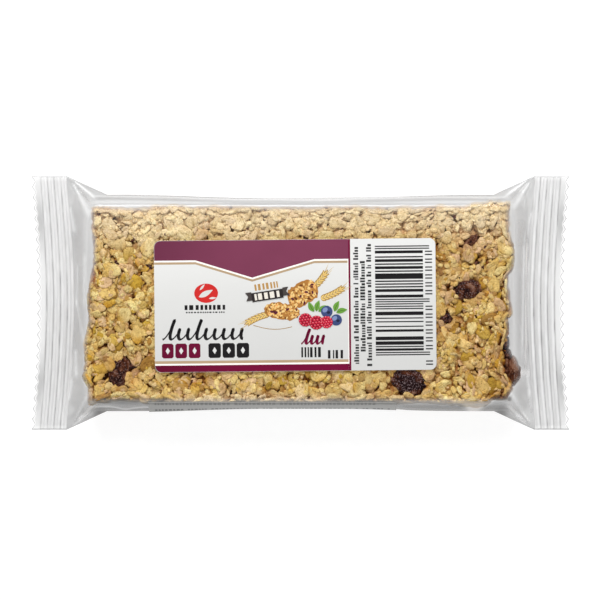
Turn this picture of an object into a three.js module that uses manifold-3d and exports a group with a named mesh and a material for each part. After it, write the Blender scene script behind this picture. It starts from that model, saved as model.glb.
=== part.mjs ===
// A granola bar in a clear flow-wrap pack, lying flat with its front label up.
// Millimetres, +Z up, +X along the bar. The origin is at the middle of the pack's underside.
// The pack is one closed solid: a film tube drawn tight over the bar, crimped flat and cut
// with pinking teeth at both ends, with its long seam folded flat underneath.
// Two stickers lie on it: one on the crown, and one that wraps from the near side underneath.
import * as THREE from "three";
import { mergeVertices } from "three/addons/utils/BufferGeometryUtils.js";
import Module from "manifold-3d";

const wasm = await Module();
wasm.setup();

// The bar inside the film.
const BAR_LENGTH = 121.5;
const BAR_THICKNESS = 15;
const BAR_EDGE_RADIUS = 1.6;

// The film tube. Laid flat, the tube is PACK_WIDTH wide, and that width is also what goes
// round half of the bar, because film doesn't stretch.
const PACK_LENGTH = 154.6;
const PACK_WIDTH = 72.8;
const CROWN_HALF_WIDTH = 27.4;
const SIDE_SLOPE = THREE.MathUtils.degToRad(71);
const FILM_HALF_THICKNESS = 0.2;
const BASE_Z = 0.4;
const MIDDLE_Z = BASE_Z + BAR_THICKNESS / 2;

// How far the side folds are drawn in at mid-length, and between which places that fades out.
const WAIST = 0.95;
const WAIST_START = 10;
const WAIST_END = 50;

// The crimped end seals.
const SEAL_DEPTH = 10.1;
const CUT_MARGIN = 2.5;
const CRIMP_START = 0.3;
const CRIMP_COUNT = 4;
const CRIMP_HEIGHT = 0.3;
const CRIMP_STEPS = 7;
const END_BOW = 1.6;
const TOOTH_COUNT = 24;
const TOOTH_DEPTH = 0.9;

// Where the tube starts to flare out towards a seal, along its sides.
const FLARE_START = 55.6;
const FOLD_HEIGHT = 0.7;
const FOLD_WIDTH = 1.5;

// The long seam under the bar.
const SEAM_WIDTH = 9;
const SEAM_CENTRE_Y = 6.5;

// The oat flakes that press through the film.
const FLAKE_SIZE = 4.4;
const FLAKE_RISE = 0.55;
const FLAKE_TILT = 0.22;
const FLAKE_SEED = 11;

// The dried fruit that stands out of the crown. Each is a low round bump.
const FRUITS = [
  { x: -51.2, y: -19.7, radius: 5.0, rise: 0.7 },
  { x: 47.9, y: 4.0, radius: 4.2, rise: 0.8 },
  { x: 48.2, y: 17.4, radius: 4.2, rise: 0.6 },
  { x: 41.0, y: -24.2, radius: 4.0, rise: 0.5 },
  { x: 59.6, y: -19.2, radius: 4.2, rise: 1.0 },
];

// The stickers. topWeb is how far from the crown's middle the back sticker starts, along the film.
const STICKER = 0.3;
const STICKER_GAP = 0.1;
const FRONT = { length: 80.4, width: 37.6, corner: 1.8, x: -1.5, y: -0.65, turn: 0.4 };
const BACK = { length: 71, x: -8, topWeb: 28.4, innerEdge: -5 };

// Steps of the meshes.
const BODY_STEPS = 58;
const FLARE_STEPS = 9;
const CROWN_STEPS = 30;
const SIDE_STEPS = 5;
const SEAL_STEPS = 12;
const BACK_STEPS = 16;
const BACK_SIDE_STEPS = 8;

const OATS = new THREE.MeshStandardMaterial({ color: 0xd0ac6c, roughness: 0.35 });
const PAPER = new THREE.MeshStandardMaterial({ color: 0xe6e6e4, roughness: 0.45 });

const HALF_WEB = PACK_WIDTH / 2;
const SEAL_START = PACK_LENGTH / 2 - SEAL_DEPTH;
const { clamp, lerp, smoothstep } = THREE.MathUtils;

// A number from 0 to 1 that is always the same for the same two whole numbers.
function scatter(i, j, salt) {
  const wave = Math.sin(i * 127.1 + j * 311.7 + (salt + FLAKE_SEED) * 74.7) * 43758.5453;
  return wave - Math.floor(wave);
}

// How far the flake nearest to a point of the crown stands out. Each cell of a jittered
// lattice is one flake: a flat facet with its own height and tilt, lower where two meet.
function flakeRelief(x, y) {
  const column = Math.floor(x / FLAKE_SIZE);
  const row = Math.floor(y / FLAKE_SIZE);
  const found = [];
  for (let i = column - 1; i <= column + 1; i++)
    for (let j = row - 1; j <= row + 1; j++) {
      const dx = x - (i + 0.15 + 0.7 * scatter(i, j, 1)) * FLAKE_SIZE;
      const dy = y - (j + 0.15 + 0.7 * scatter(i, j, 2)) * FLAKE_SIZE;
      const tilt = (scatter(i, j, 3) - 0.5) * dx + (scatter(i, j, 4) - 0.5) * dy;
      const height = (scatter(i, j, 5) - 0.5) * FLAKE_RISE + 2 * FLAKE_TILT * tilt;
      found.push({ distance: Math.hypot(dx, dy), height });
    }
  found.sort((a, b) => a.distance - b.distance);
  const seam = smoothstep(found[1].distance - found[0].distance, 0, 0.35 * FLAKE_SIZE);
  return found[0].height - (1 - seam) * FLAKE_RISE * 0.6;
}

// How far the dried fruit under a point of the crown stands out.
function fruitRelief(x, y) {
  return FRUITS.reduce((sum, fruit) => {
    const distance = Math.hypot(x - fruit.x, y - fruit.y);
    return sum + fruit.rise * (1 - smoothstep(distance, 0.3 * fruit.radius, fruit.radius));
  }, 0);
}

// A point of the upper half of the body's section, at the length web from the middle of the
// crown: the flat crown, an arc round the bar's edge, then a straight slope to the side fold.
function crownSection(web) {
  const arcY = CROWN_HALF_WIDTH + BAR_EDGE_RADIUS * Math.sin(SIDE_SLOPE);
  const arcHeight = BAR_THICKNESS / 2 - BAR_EDGE_RADIUS * (1 - Math.cos(SIDE_SLOPE));
  const arcLength = BAR_EDGE_RADIUS * SIDE_SLOPE;
  const slope = arcHeight / Math.sin(SIDE_SLOPE);
  const whole = CROWN_HALF_WIDTH + arcLength + slope;
  const along = (web / HALF_WEB) * whole;
  if (along <= CROWN_HALF_WIDTH) return { y: along, height: BAR_THICKNESS / 2 };
  const turn = (along - CROWN_HALF_WIDTH) / BAR_EDGE_RADIUS;
  if (turn < SIDE_SLOPE)
    return {
      y: CROWN_HALF_WIDTH + BAR_EDGE_RADIUS * Math.sin(turn),
      height: BAR_THICKNESS / 2 - BAR_EDGE_RADIUS * (1 - Math.cos(turn)),
    };
  const down = along - CROWN_HALF_WIDTH - arcLength;
  return {
    y: arcY + down * Math.cos(SIDE_SLOPE),
    height: arcHeight - down * Math.sin(SIDE_SLOPE),
  };
}

// How far a place of the section is drawn in: most at the side fold and at mid-length.
function waist(x, web) {
  const out = Math.max(0, (web - CROWN_HALF_WIDTH) / (HALF_WEB - CROWN_HALF_WIDTH));
  return WAIST * out ** 2 * (1 - smoothstep(Math.abs(x), WAIST_START, WAIST_END));
}

// The seals bow in towards the bar, most at the middle of their width.
function endBow(web) {
  return END_BOW * Math.pow(1 - Math.pow(web / HALF_WEB, 2.5), 1.6);
}

// How much of the way the section has gone from the body's to the flat seal's.
function flattening(x, web) {
  const edge = smoothstep(web, 0.6 * HALF_WEB, HALF_WEB);
  const from = lerp(BAR_LENGTH / 2, FLARE_START, edge);
  const to = SEAL_START - endBow(web);
  const share = clamp((x - from) / (to - from), 0, 1);
  return lerp(smoothstep(share, 0, 1), share, edge);
}

// Height of the creases that fan from a seal's corner to the bar's corner.
function cornerFolds(x, web) {
  const far = { x: SEAL_START, web: HALF_WEB };
  const nears = [
    { x: BAR_LENGTH / 2, web: 0.75 * HALF_WEB },
    { x: FLARE_START + 1, web: 0.86 * HALF_WEB },
  ];
  return nears.reduce((sum, near) => {
    const run = { x: far.x - near.x, web: far.web - near.web };
    const length = Math.hypot(run.x, run.web);
    const across = ((x - near.x) * run.web - (web - near.web) * run.x) / length;
    const along = ((x - near.x) * run.x + (web - near.web) * run.web) / length ** 2;
    const ends = smoothstep(along, 0, 0.4) * (1 - smoothstep(along, 0.7, 1));
    return sum + FOLD_HEIGHT * ends * Math.max(0, 1 - Math.abs(across) / FOLD_WIDTH);
  }, 0);
}

// One point of the film tube. web runs over the crown or the underside from fold to fold.
function tubePoint(x, web, upper) {
  const side = Math.sign(web) || 1;
  const from = Math.abs(web);
  const flat = flattening(Math.abs(x), from);
  const body = crownSection(from);
  const y = side * lerp(body.y - waist(x, from), from, flat);
  let height = lerp(body.height, 0, flat);
  if (upper) {
    const onBar = 1 - smoothstep(from, CROWN_HALF_WIDTH - 1.5, CROWN_HALF_WIDTH + 1.5);
    const bare = onBar * (1 - smoothstep(flat, 0.1, 0.5)) * (1 - underFront(x, y));
    height += bare * (flakeRelief(x, y) + fruitRelief(x, y)) - 0.1 * underFront(x, y);
    height += cornerFolds(Math.abs(x), from);
  }
  const raised = Math.max(height, FILM_HALF_THICKNESS);
  return [x, y, MIDDLE_Z + (upper ? raised : -raised)];
}

// 1 under the front sticker and a little round it, 0 further off.
function underFront(x, y) {
  const clearance = 1.5;
  const outX = Math.abs(x - FRONT.x) - FRONT.length / 2 - clearance;
  const outY = Math.abs(y - FRONT.y) - FRONT.width / 2 - clearance;
  return 1 - smoothstep(Math.max(outX, outY), 0, clearance);
}

// A closed geometry between an upper and a lower sheet on the same grid of columns and rows.
function closedSheets(columns, rows, pointAt) {
  const position = [];
  const index = [];
  const at = (c, r, upper) => (upper ? 0 : columns * rows) + c * rows + r;
  const quad = (a, b, c, d) => index.push(a, b, c, a, c, d);
  for (const upper of [true, false])
    for (let c = 0; c < columns; c++)
      for (let r = 0; r < rows; r++) position.push(...pointAt(c, r, upper));
  for (let c = 0; c + 1 < columns; c++)
    for (let r = 0; r + 1 < rows; r++) {
      quad(at(c, r, true), at(c + 1, r, true), at(c + 1, r + 1, true), at(c, r + 1, true));
      quad(at(c, r, false), at(c, r + 1, false), at(c + 1, r + 1, false), at(c + 1, r, false));
    }
  for (let c = 0; c + 1 < columns; c++) {
    const last = rows - 1;
    quad(at(c, 0, false), at(c + 1, 0, false), at(c + 1, 0, true), at(c, 0, true));
    quad(at(c, last, true), at(c + 1, last, true), at(c + 1, last, false), at(c, last, false));
  }
  for (let r = 0; r + 1 < rows; r++) {
    const last = columns - 1;
    quad(at(0, r, true), at(0, r + 1, true), at(0, r + 1, false), at(0, r, false));
    quad(at(last, r, false), at(last, r + 1, false), at(last, r + 1, true), at(last, r, true));
  }
  const geometry = new THREE.BufferGeometry();
  geometry.setAttribute("position", new THREE.Float32BufferAttribute(position, 3));
  geometry.setIndex(index);
  return geometry;
}

// The places along half of the web where the tube's mesh has its points.
function webStations() {
  const half = [];
  for (let i = 0; i <= CROWN_STEPS / 2; i++)
    half.push((CROWN_HALF_WIDTH * i) / (CROWN_STEPS / 2));
  for (let i = 1; i <= SIDE_STEPS; i++)
    half.push(lerp(CROWN_HALF_WIDTH, HALF_WEB, i / SIDE_STEPS));
  return [...half.slice(1).reverse().map((w) => -w), ...half];
}

// The tube over the bar, out to where both seals start.
function tubeGeometry() {
  const webs = webStations();
  const columns = BODY_STEPS + 2 * FLARE_STEPS + 1;
  const overlap = 0.3;
  return closedSheets(columns, webs.length, (c, r, upper) => {
    const web = webs[r];
    const inner = c - FLARE_STEPS;
    let x = lerp(-FLARE_START, FLARE_START, inner / BODY_STEPS);
    const end = SEAL_START - endBow(Math.abs(web)) + overlap;
    if (inner < 0) x = lerp(-FLARE_START, -end, -inner / FLARE_STEPS);
    if (inner > BODY_STEPS) x = lerp(FLARE_START, end, (inner - BODY_STEPS) / FLARE_STEPS);
    return tubePoint(x, web, upper);
  });
}

// One crimped seal, at the end where side is 1 or -1. Its crimps are valleys along its width.
function sealGeometry(side) {
  const steps = CRIMP_COUNT * CRIMP_STEPS;
  const crimpEnd = SEAL_DEPTH - CUT_MARGIN;
  const depths = [0];
  for (let i = 0; i <= steps; i++) depths.push(lerp(CRIMP_START, crimpEnd, i / steps));
  depths.push(SEAL_DEPTH);
  return closedSheets(depths.length, SEAL_STEPS + 1, (c, r, upper) => {
    const depth = depths[side > 0 ? c : depths.length - 1 - c];
    const web = lerp(-HALF_WEB, HALF_WEB, r / SEAL_STEPS);
    const x = side * (SEAL_START - endBow(Math.abs(web)) + depth);
    const turns = (depth - CRIMP_START) / (crimpEnd - CRIMP_START);
    const inCrimp = turns > 0 && turns < 1;
    const wave = inCrimp ? -CRIMP_HEIGHT * Math.sin(Math.PI * CRIMP_COUNT * turns) ** 2 : 0;
    const middle = MIDDLE_Z + wave + CRIMP_HEIGHT / 2;
    return [x, web, middle + (upper ? FILM_HALF_THICKNESS : -FILM_HALF_THICKNESS)];
  });
}

// The waste beyond a seal's cut edge: subtracting it leaves pinking teeth.
function wasteGeometry(side) {
  const spare = 2;
  const beyond = PACK_LENGTH / 2 + spare;
  const shape = new THREE.Shape();
  shape.moveTo(side * beyond, -HALF_WEB - spare);
  for (let i = 0; i <= 2 * TOOTH_COUNT; i++) {
    const web = lerp(-HALF_WEB, HALF_WEB, i / (2 * TOOTH_COUNT));
    const depth = i % 2 ? TOOTH_DEPTH : 0;
    const edge = PACK_LENGTH / 2 - endBow(Math.abs(web)) - depth;
    if (i === 0) shape.lineTo(side * edge, web - spare);
    shape.lineTo(side * edge, web);
    if (i === 2 * TOOTH_COUNT) shape.lineTo(side * edge, web + spare);
  }
  shape.lineTo(side * beyond, HALF_WEB + spare);
  const geometry = new THREE.ExtrudeGeometry(shape, { depth: 2 * spare, bevelEnabled: false });
  return geometry.translate(0, 0, MIDDLE_Z - spare);
}

// The long seam: a flap of film folded flat against the underside.
function seamGeometry() {
  const length = BAR_LENGTH - 2;
  const overlap = 0.3;
  const thickness = BASE_Z + overlap;
  const flap = new THREE.BoxGeometry(length, SEAM_WIDTH, thickness);
  return flap.translate(0, SEAM_CENTRE_Y, thickness / 2);
}

function solid(geometry) {
  const bare = geometry.clone();
  bare.deleteAttribute("normal");
  bare.deleteAttribute("uv");
  const merged = mergeVertices(bare, 1e-4);
  return new wasm.Manifold(
    new wasm.Mesh({
      numProp: 3,
      vertProperties: new Float32Array(merged.attributes.position.array),
      triVerts: new Uint32Array(merged.index.array),
    }),
  );
}

function geometryOf(manifold) {
  const mesh = manifold.getMesh();
  const geometry = new THREE.BufferGeometry();
  geometry.setAttribute("position", new THREE.BufferAttribute(mesh.vertProperties, 3));
  geometry.setIndex(new THREE.BufferAttribute(mesh.triVerts, 1));
  geometry.computeVertexNormals();
  return geometry;
}

function pack() {
  let joined = solid(tubeGeometry()).add(solid(seamGeometry()));
  for (const side of [-1, 1])
    joined = joined.add(solid(sealGeometry(side)).subtract(solid(wasteGeometry(side))));
  return geometryOf(joined.simplify(0.01));
}

// The front sticker: a plate with round corners that lies on the crown.
function frontSticker() {
  const { length, width, corner } = FRONT;
  const right = length / 2;
  const top = width / 2;
  const quarter = Math.PI / 2;
  const shape = new THREE.Shape();
  shape.absarc(right - corner, top - corner, corner, 0, quarter);
  shape.absarc(corner - right, top - corner, corner, quarter, 2 * quarter);
  shape.absarc(corner - right, corner - top, corner, 2 * quarter, 3 * quarter);
  shape.absarc(right - corner, corner - top, corner, 3 * quarter, 4 * quarter);
  shape.closePath();
  return new THREE.ExtrudeGeometry(shape, {
    depth: STICKER,
    bevelEnabled: false,
    curveSegments: 6,
  });
}

// The back sticker's line in the pack's section: from near the top of the near side, over
// the side fold and under the bar. It runs a distance away outside the film.
function backLine(away) {
  const line = [];
  const push = (web, upper) => {
    const delta = 0.05;
    const here = crownSection(web);
    const before = crownSection(web - delta);
    const after = crownSection(Math.min(web + delta, HALF_WEB));
    const run = Math.hypot(after.y - before.y, after.height - before.height);
    const outY = (before.height - after.height) / run;
    const outHeight = (after.y - before.y) / run;
    const height = here.height + away * outHeight;
    line.push({ web, y: -(here.y + away * outY), z: MIDDLE_Z + (upper ? height : -height) });
  };
  for (let i = 0; i <= BACK_SIDE_STEPS; i++)
    push(lerp(BACK.topWeb, HALF_WEB, i / BACK_SIDE_STEPS), true);
  for (let i = 1; i <= BACK_SIDE_STEPS; i++)
    push(lerp(HALF_WEB, BACK.topWeb, i / BACK_SIDE_STEPS), false);
  for (const y of [-CROWN_HALF_WIDTH, BACK.innerEdge]) line.push({ web: 0, y, z: BASE_Z - away });
  return line;
}

// The back sticker: a sheet between two such lines, drawn in at mid-length as the film is.
function backSticker() {
  const inner = backLine(STICKER_GAP);
  const outer = backLine(STICKER_GAP + STICKER);
  const geometry = closedSheets(BACK_STEPS + 1, inner.length, (c, r, upper) => {
    const { web, y, z } = (upper ? inner : outer)[r];
    const x = BACK.length * (c / BACK_STEPS - 0.5);
    return [x, y + waist(BACK.x + x, web), z];
  });
  geometry.computeVertexNormals();
  return geometry;
}

function part(name, geometry, material) {
  const mesh = new THREE.Mesh(geometry, material);
  mesh.name = name;
  return mesh;
}

const group = new THREE.Group();
group.add(part("pack", pack(), OATS));

const front = part("front_sticker", frontSticker(), PAPER);
front.position.set(FRONT.x, FRONT.y, BASE_Z + BAR_THICKNESS + STICKER_GAP);
front.rotation.z = THREE.MathUtils.degToRad(FRONT.turn);
group.add(front);

const back = part("back_sticker", backSticker(), PAPER);
back.position.set(BACK.x, 0, 0);
group.add(back);

export default group;
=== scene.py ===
import math
from functools import partial

import bpy
import numpy as np
from bpy.props import FloatProperty, FloatVectorProperty, IntProperty, PointerProperty
from bpy.types import Operator, Panel, PropertyGroup
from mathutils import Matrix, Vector


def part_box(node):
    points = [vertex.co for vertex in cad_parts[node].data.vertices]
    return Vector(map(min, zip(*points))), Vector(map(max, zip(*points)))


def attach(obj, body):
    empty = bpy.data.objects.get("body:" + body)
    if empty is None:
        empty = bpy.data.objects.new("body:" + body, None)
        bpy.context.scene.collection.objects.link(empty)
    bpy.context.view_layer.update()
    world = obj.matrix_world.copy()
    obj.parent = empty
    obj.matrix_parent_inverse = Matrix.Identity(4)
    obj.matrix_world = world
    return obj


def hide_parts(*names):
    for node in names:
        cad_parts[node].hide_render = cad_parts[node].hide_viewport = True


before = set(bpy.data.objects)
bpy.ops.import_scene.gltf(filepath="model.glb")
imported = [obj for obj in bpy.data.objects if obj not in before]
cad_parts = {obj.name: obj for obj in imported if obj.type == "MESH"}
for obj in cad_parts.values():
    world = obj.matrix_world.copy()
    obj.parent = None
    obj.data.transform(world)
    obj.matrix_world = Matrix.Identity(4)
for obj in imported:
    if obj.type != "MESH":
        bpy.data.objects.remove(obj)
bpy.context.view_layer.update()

bl_info = {
    "name": "Granola Bar in Clear Wrap",
    "version": (1, 0, 0),
    "blender": (4, 5, 0),
    "location": "3D View > Sidebar > Granola Bar",
    "description": "An oat bar with dried fruit in a clear, crimped flow-wrap pack with two stickers",
    "category": "Add Mesh",
}

# Shapes are worked out in millimetres. MM turns them into Blender's metres.
MM = 0.001


def box_mm(node):
    """Lowest and highest corner of a CAD node, in millimetres."""
    low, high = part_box(node)
    return np.array(low) / MM, np.array(high) / MM


PACK_LOW, PACK_HIGH = box_mm("pack")
FRONT_LOW, FRONT_HIGH = box_mm("front_sticker")
BACK_LOW, BACK_HIGH = box_mm("back_sticker")

# The film tube, as in the CAD part. BASE_Z is its underside and CROWN_Z its flat top. A web is a
# place across the flat film, from the crown's middle to HALF_WEB at the side fold. The tube narrows
# to the flat seals from TUBE_END at its middle and from FLARE_START at its sides, and its sides are
# drawn in by WAIST at mid-length, less and less from WAIST_START to WAIST_END.
PACK_LENGTH = PACK_HIGH[0] - PACK_LOW[0]
PACK_WIDTH = PACK_HIGH[1] - PACK_LOW[1]
HALF_WEB = PACK_WIDTH / 2
BASE_Z = 0.4
BAR_THICKNESS = 15
CROWN_Z = BASE_Z + BAR_THICKNESS
MIDDLE_Z = (BASE_Z + CROWN_Z) / 2
CROWN_HALF_WIDTH = 27.4
TUBE_HALF_WIDTH = 31.1
EDGE_RADIUS = 1.6
SIDE_SLOPE = math.radians(71)
SEAL_DEPTH = 10.1
CUT_MARGIN = 2.55
SEAL_START = PACK_LENGTH / 2 - SEAL_DEPTH
END_BOW = 1.6
INNER_BOW = 2.1
FLARE_START = 55.6
TUBE_END = 60.75
WAIST = 0.95
WAIST_START = 10
WAIST_END = 50
BACK_TOP_WEB = 28.4

# The front sticker's place and size. It is turned a little, as stuck on by a machine.
STICKER_X = (FRONT_LOW[0] + FRONT_HIGH[0]) / 2
STICKER_Y = (FRONT_LOW[1] + FRONT_HIGH[1]) / 2
STICKER_TURN = 0.6
STICKER_LENGTH = 80.4
STICKER_WIDTH = 37.6

# The gap between the film and the back sticker, and how thick ink is made.
BACK_GAP = 0.14
PRINT_LIFT = 0.012

# The share of the lamps' light that film and stickers let through to what lies behind them.
FILM_OPENNESS = 0.9
PAPER_OPENNESS = 0.55


def srgb(red, green, blue):
    """A colour given as 0 to 255 values of a screen, as the linear values that Blender mixes."""
    screen = np.array([red, green, blue]) / 255
    linear = np.where(screen <= 0.04045, screen / 12.92, ((screen + 0.055) / 1.055) ** 2.4)
    return tuple(float(value) for value in linear)


def shaded(tint, share):
    """A colour with its values times a share, and never above 1."""
    return tuple(min(1.0, share * value) for value in tint)


def size(name, description, millimetres):
    """A length property, shown in the scene's units."""
    shown = {"precision": 5, "subtype": "DISTANCE", "unit": "LENGTH"}
    return FloatProperty(name=name, description=description, default=millimetres * MM, min=0.0, **shown)


def colour(name, description, red, green, blue):
    """A colour property with its default as screen values."""
    tint = srgb(red, green, blue)
    limits = {"min": 0.0, "max": 1.0, "size": 3, "subtype": "COLOR"}
    return FloatVectorProperty(name=name, description=description, default=tint, **limits)


class BarSettings(PropertyGroup):
    """Sizes and colours of the baked bar."""

    length: size("Length", "Length of the bar", 122.2)
    width: size("Width", "Width of the bar", 56.9)
    flake_length: size("Flake length", "Length of a middling oat flake", 5.0)
    flake_width: size("Flake width", "Width of a middling oat flake", 3.7)
    flake_thickness: size("Flake thickness", "Thickness of an oat flake", 0.95)
    crumb_size: size("Crumb size", "Size of a middling crumb of oat", 1.3)
    seed: IntProperty(name="Seed", description="Number that all the strewing starts from", default=7)
    cream: colour("Cream", "Palest oat flakes", 245, 222, 153)
    tan: colour("Tan", "Most oat flakes", 229, 195, 118)
    gold: colour("Gold", "Oat flakes soaked with syrup", 206, 168, 62)
    blush: colour("Blush", "Oat flakes with a floury, rosy face", 230, 196, 150)
    toast: colour("Toast", "Darkest oat flakes", 176, 130, 60)
    stain: colour("Stain", "Tint of flakes stained by the fruit", 206, 190, 190)
    # Painted light: the pale colour that flakes along the far edge, and along a part of the near edge, are
    # mixed towards.
    edge_light: colour("Edge light", "Dusty flakes along the far edge", 255, 234, 196)
    syrup: colour("Syrup", "Baked syrup and meal between the flakes", 160, 97, 27)
    fruit: colour("Fruit", "Dried fruit, in its dark skin", 30, 5, 7)
    fruit_mid: colour("Fruit sides", "Sides of the wrinkles in the dried fruit's skin", 92, 46, 24)
    fruit_rim: colour("Fruit ridges", "Ridges of the dried fruit's skin", 148, 108, 86)
    # Partly painted light: pale specks that stand for sugar bloom and for glints on the dark fruit.
    fruit_bloom_glints: colour("Fruit bloom", "Pale specks on the darker dried fruit", 148, 128, 130)


class FilmSettings(PropertyGroup):
    """Sizes and finish of the clear film."""

    thickness: size("Thickness", "Thickness of the film as modelled", 0.1)
    crimp_height: size("Crimp height", "Height of the ridges in the end seals", 0.34)
    tooth_depth: size("Tooth depth", "Depth of the pinked teeth of the cut ends", 0.9)
    crimps: IntProperty(name="Crimps", description="Ridges in each end seal", default=4)
    teeth: IntProperty(name="Teeth", description="Teeth along each cut end", default=24)


class StickerSettings(PropertyGroup):
    """Sizes and inks of the two stickers."""

    thickness: size("Thickness", "Thickness of a sticker as modelled", 0.14)
    corner: size("Corner radius", "Radius of the front sticker's corners", 1.8)
    paper: colour("Paper", "Coated sticker paper", 217, 217, 215)
    # Painted shade: the back sticker's paper is a mid grey, for the near side, which faces away from the
    # key light.
    back_paper_in_shade: colour("Back paper", "Coated paper of the back sticker", 157, 156, 153)
    wine: colour("Wine", "The wide upper band", 124, 58, 84)
    wine_deep: colour("Deep wine", "The narrow lower band and the heavy words", 113, 5, 52)
    white: colour("White", "The thin white lines", 253, 250, 243)
    sand: colour("Sand", "The thin tan lines", 180, 155, 124)
    black: colour("Black", "Words and bars", 26, 24, 26)
    red: colour("Red", "The round badge", 205, 44, 42)
    small_grey: colour("Small print", "The tiny blocks in place of small print", 50, 50, 50)
    side_grey: colour("Side print", "The tiny blocks on the back sticker", 70, 70, 68)


class PictureSettings(PropertyGroup):
    """Inks of the small picture on the front sticker."""

    bristle: colour("Bristles", "Bristles of the ears of grain", 206, 176, 112)
    husk: colour("Husks", "Dark rims of the kernels, and the stalk", 158, 120, 58)
    kernel: colour("Kernels", "Pale faces of the kernels", 226, 194, 120)
    crust: colour("Crust", "Ground of the pictured oat bar", 172, 118, 58)
    gap: colour("Gaps", "Dark gaps in the pictured oat bar", 112, 66, 34)
    oat: colour("Oats", "Oats of the pictured oat bar", 208, 158, 86)
    flake: colour("Flakes", "Pale flakes of the pictured oat bar", 236, 200, 132)
    dried: colour("Dried fruit", "Fruit in the pictured oat bar", 88, 34, 50)
    leaf: colour("Leaves", "Leaves behind the berries", 104, 152, 62)
    vein: colour("Veins", "Middle veins of the leaves", 64, 106, 40)
    blue: colour("Blue fruit", "Blue berries", 58, 72, 116)
    bloom: colour("Bloom", "Pale bloom on the blue berries", 124, 140, 182)
    calyx: colour("Calyx", "Dark calyx of the blue berries", 34, 38, 62)
    red: colour("Red fruit", "Ground of the red berries", 136, 14, 38)
    bead: colour("Beads", "Beads of the red berries", 206, 42, 66)
    gleam: colour("Gleams", "Gleam on each bead", 244, 164, 172)
    ribbon: colour("Ribbon", "The small dark ribbon", 44, 38, 38)
    ribbon_end: colour("Ribbon ends", "The ribbon's folded ends", 70, 64, 62)
    ribbon_block: colour("Ribbon blocks", "Blocks on the ribbon", 232, 226, 214)
    tan: colour("Tan blocks", "Blocks above the ribbon", 184, 142, 82)


def new_rng(salt):
    """A random source that is always the same for the same salt."""
    return np.random.default_rng(bpy.context.scene.bar_settings.seed * 1000 + salt)


def smooth(value, low, high):
    """0 below low, 1 above high, and a cubic ease between them."""
    share = np.clip((value - low) / (high - low), 0, 1)
    return share * share * (3 - 2 * share)


def soft_limit(value, limit, give):
    """Values kept below a limit: from give below it on, they rise less and less."""
    start = limit - give
    over = np.maximum(value - start, 0)
    return np.where(over > 0, start + give * (1 - np.exp(-over / give)), value)


def signed_power(value, power):
    """A power of the size of a value, with the value's sign."""
    return np.sign(value) * np.abs(value) ** power


def bell(value, middle, width):
    """1 at the middle, falling off evenly to both sides."""
    return np.exp(-(((value - middle) / width) ** 2))


def towards(first, second, share):
    """A mix of two values: the first where the share is 0, and the second where it is 1."""
    return first * (1 - share) + second * share


def spin(degrees):
    """The matrix that turns rows of places anticlockwise, seen from above."""
    angle = math.radians(degrees)
    return np.array([[math.cos(angle), math.sin(angle)], [-math.sin(angle), math.cos(angle)]])


def triples(first, second, third):
    """Points, or other rows of three, from arrays or numbers for each of the three."""
    return np.stack(np.broadcast_arrays(first, second, third), axis=-1)


def flat_places(x, y):
    """Places in the pack's plane, as points that noise can read."""
    return triples(x, y, 0)


def waist(x, web):
    """How far the film's sides are drawn in: most at the side fold and at mid-length."""
    out = np.clip((web - CROWN_HALF_WIDTH) / (HALF_WEB - CROWN_HALF_WIDTH), 0, 1)
    return WAIST * out**2 * (1 - smooth(np.abs(x), WAIST_START, WAIST_END))


def lattice(ix, iy, iz, seed):
    """A number from -1 to 1 for each whole-number point, by multiplying and mixing its bits."""
    mixed = ix * 374761393 + iy * 668265263 + iz * 2147483647 + seed * 974634777
    mixed = (mixed ^ (mixed >> 13)) * 1274126177
    mixed = (mixed ^ (mixed >> 16)) & 0xFFFFFF
    return mixed / float(0x7FFFFF) - 1


def noise(points, cell, seed):
    """Smooth noise from -1 to 1: random values at a lattice's corners, eased between them."""
    scaled = np.asarray(points, dtype=float) / cell
    base = np.floor(scaled).astype(np.int64)
    part = scaled - base
    part = part * part * (3 - 2 * part)
    total = np.zeros(scaled.shape[:-1])
    for corner in range(8):
        step = np.array([corner & 1, corner >> 1 & 1, corner >> 2 & 1])
        weight = np.prod(np.where(step, part, 1 - part), axis=-1)
        at = base + step
        total += weight * lattice(at[..., 0], at[..., 1], at[..., 2], seed)
    return total


def unit(vectors):
    """The same directions with length 1."""
    return vectors / np.maximum(np.linalg.norm(vectors, axis=-1, keepdims=True), 1e-9)


def make_piece(name, points, faces, material, slot, node, flat=False, **attributes):
    """Makes a mesh piece, in place of a CAD node, from points in millimetres and arrays of faces.

    An attribute with 3 values a point is kept as a colour, and one with a single value as a number.
    """
    counts = np.concatenate([np.full(len(part), part.shape[1]) for part in faces])
    corners = np.concatenate([part.ravel() for part in faces])
    mesh = bpy.data.meshes.new(name)
    mesh.vertices.add(len(points))
    mesh.vertices.foreach_set("co", (points * MM).astype(np.float32).ravel())
    mesh.loops.add(len(corners))
    mesh.loops.foreach_set("vertex_index", corners.astype(np.int32))
    mesh.polygons.add(len(counts))
    starts = np.concatenate([[0], np.cumsum(counts)[:-1]])
    mesh.polygons.foreach_set("loop_start", starts.astype(np.int32))
    mesh.polygons.foreach_set("use_smooth", np.full(len(counts), not flat))
    mesh.update(calc_edges=True)
    for key, values in attributes.items():
        if values.ndim == 2:
            values = np.concatenate([values, np.ones((len(values), 1))], axis=1)
            layer = mesh.attributes.new(key, "FLOAT_COLOR", "POINT")
            layer.data.foreach_set("color", values.astype(np.float32).ravel())
        else:
            layer = mesh.attributes.new(key, "FLOAT", "POINT")
            layer.data.foreach_set("value", values.astype(np.float32))
    mesh.materials.append(material)
    piece = bpy.data.objects.new(name, mesh)
    bpy.context.scene.collection.objects.link(piece)
    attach(piece, "root")
    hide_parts(node)
    return piece


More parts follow.
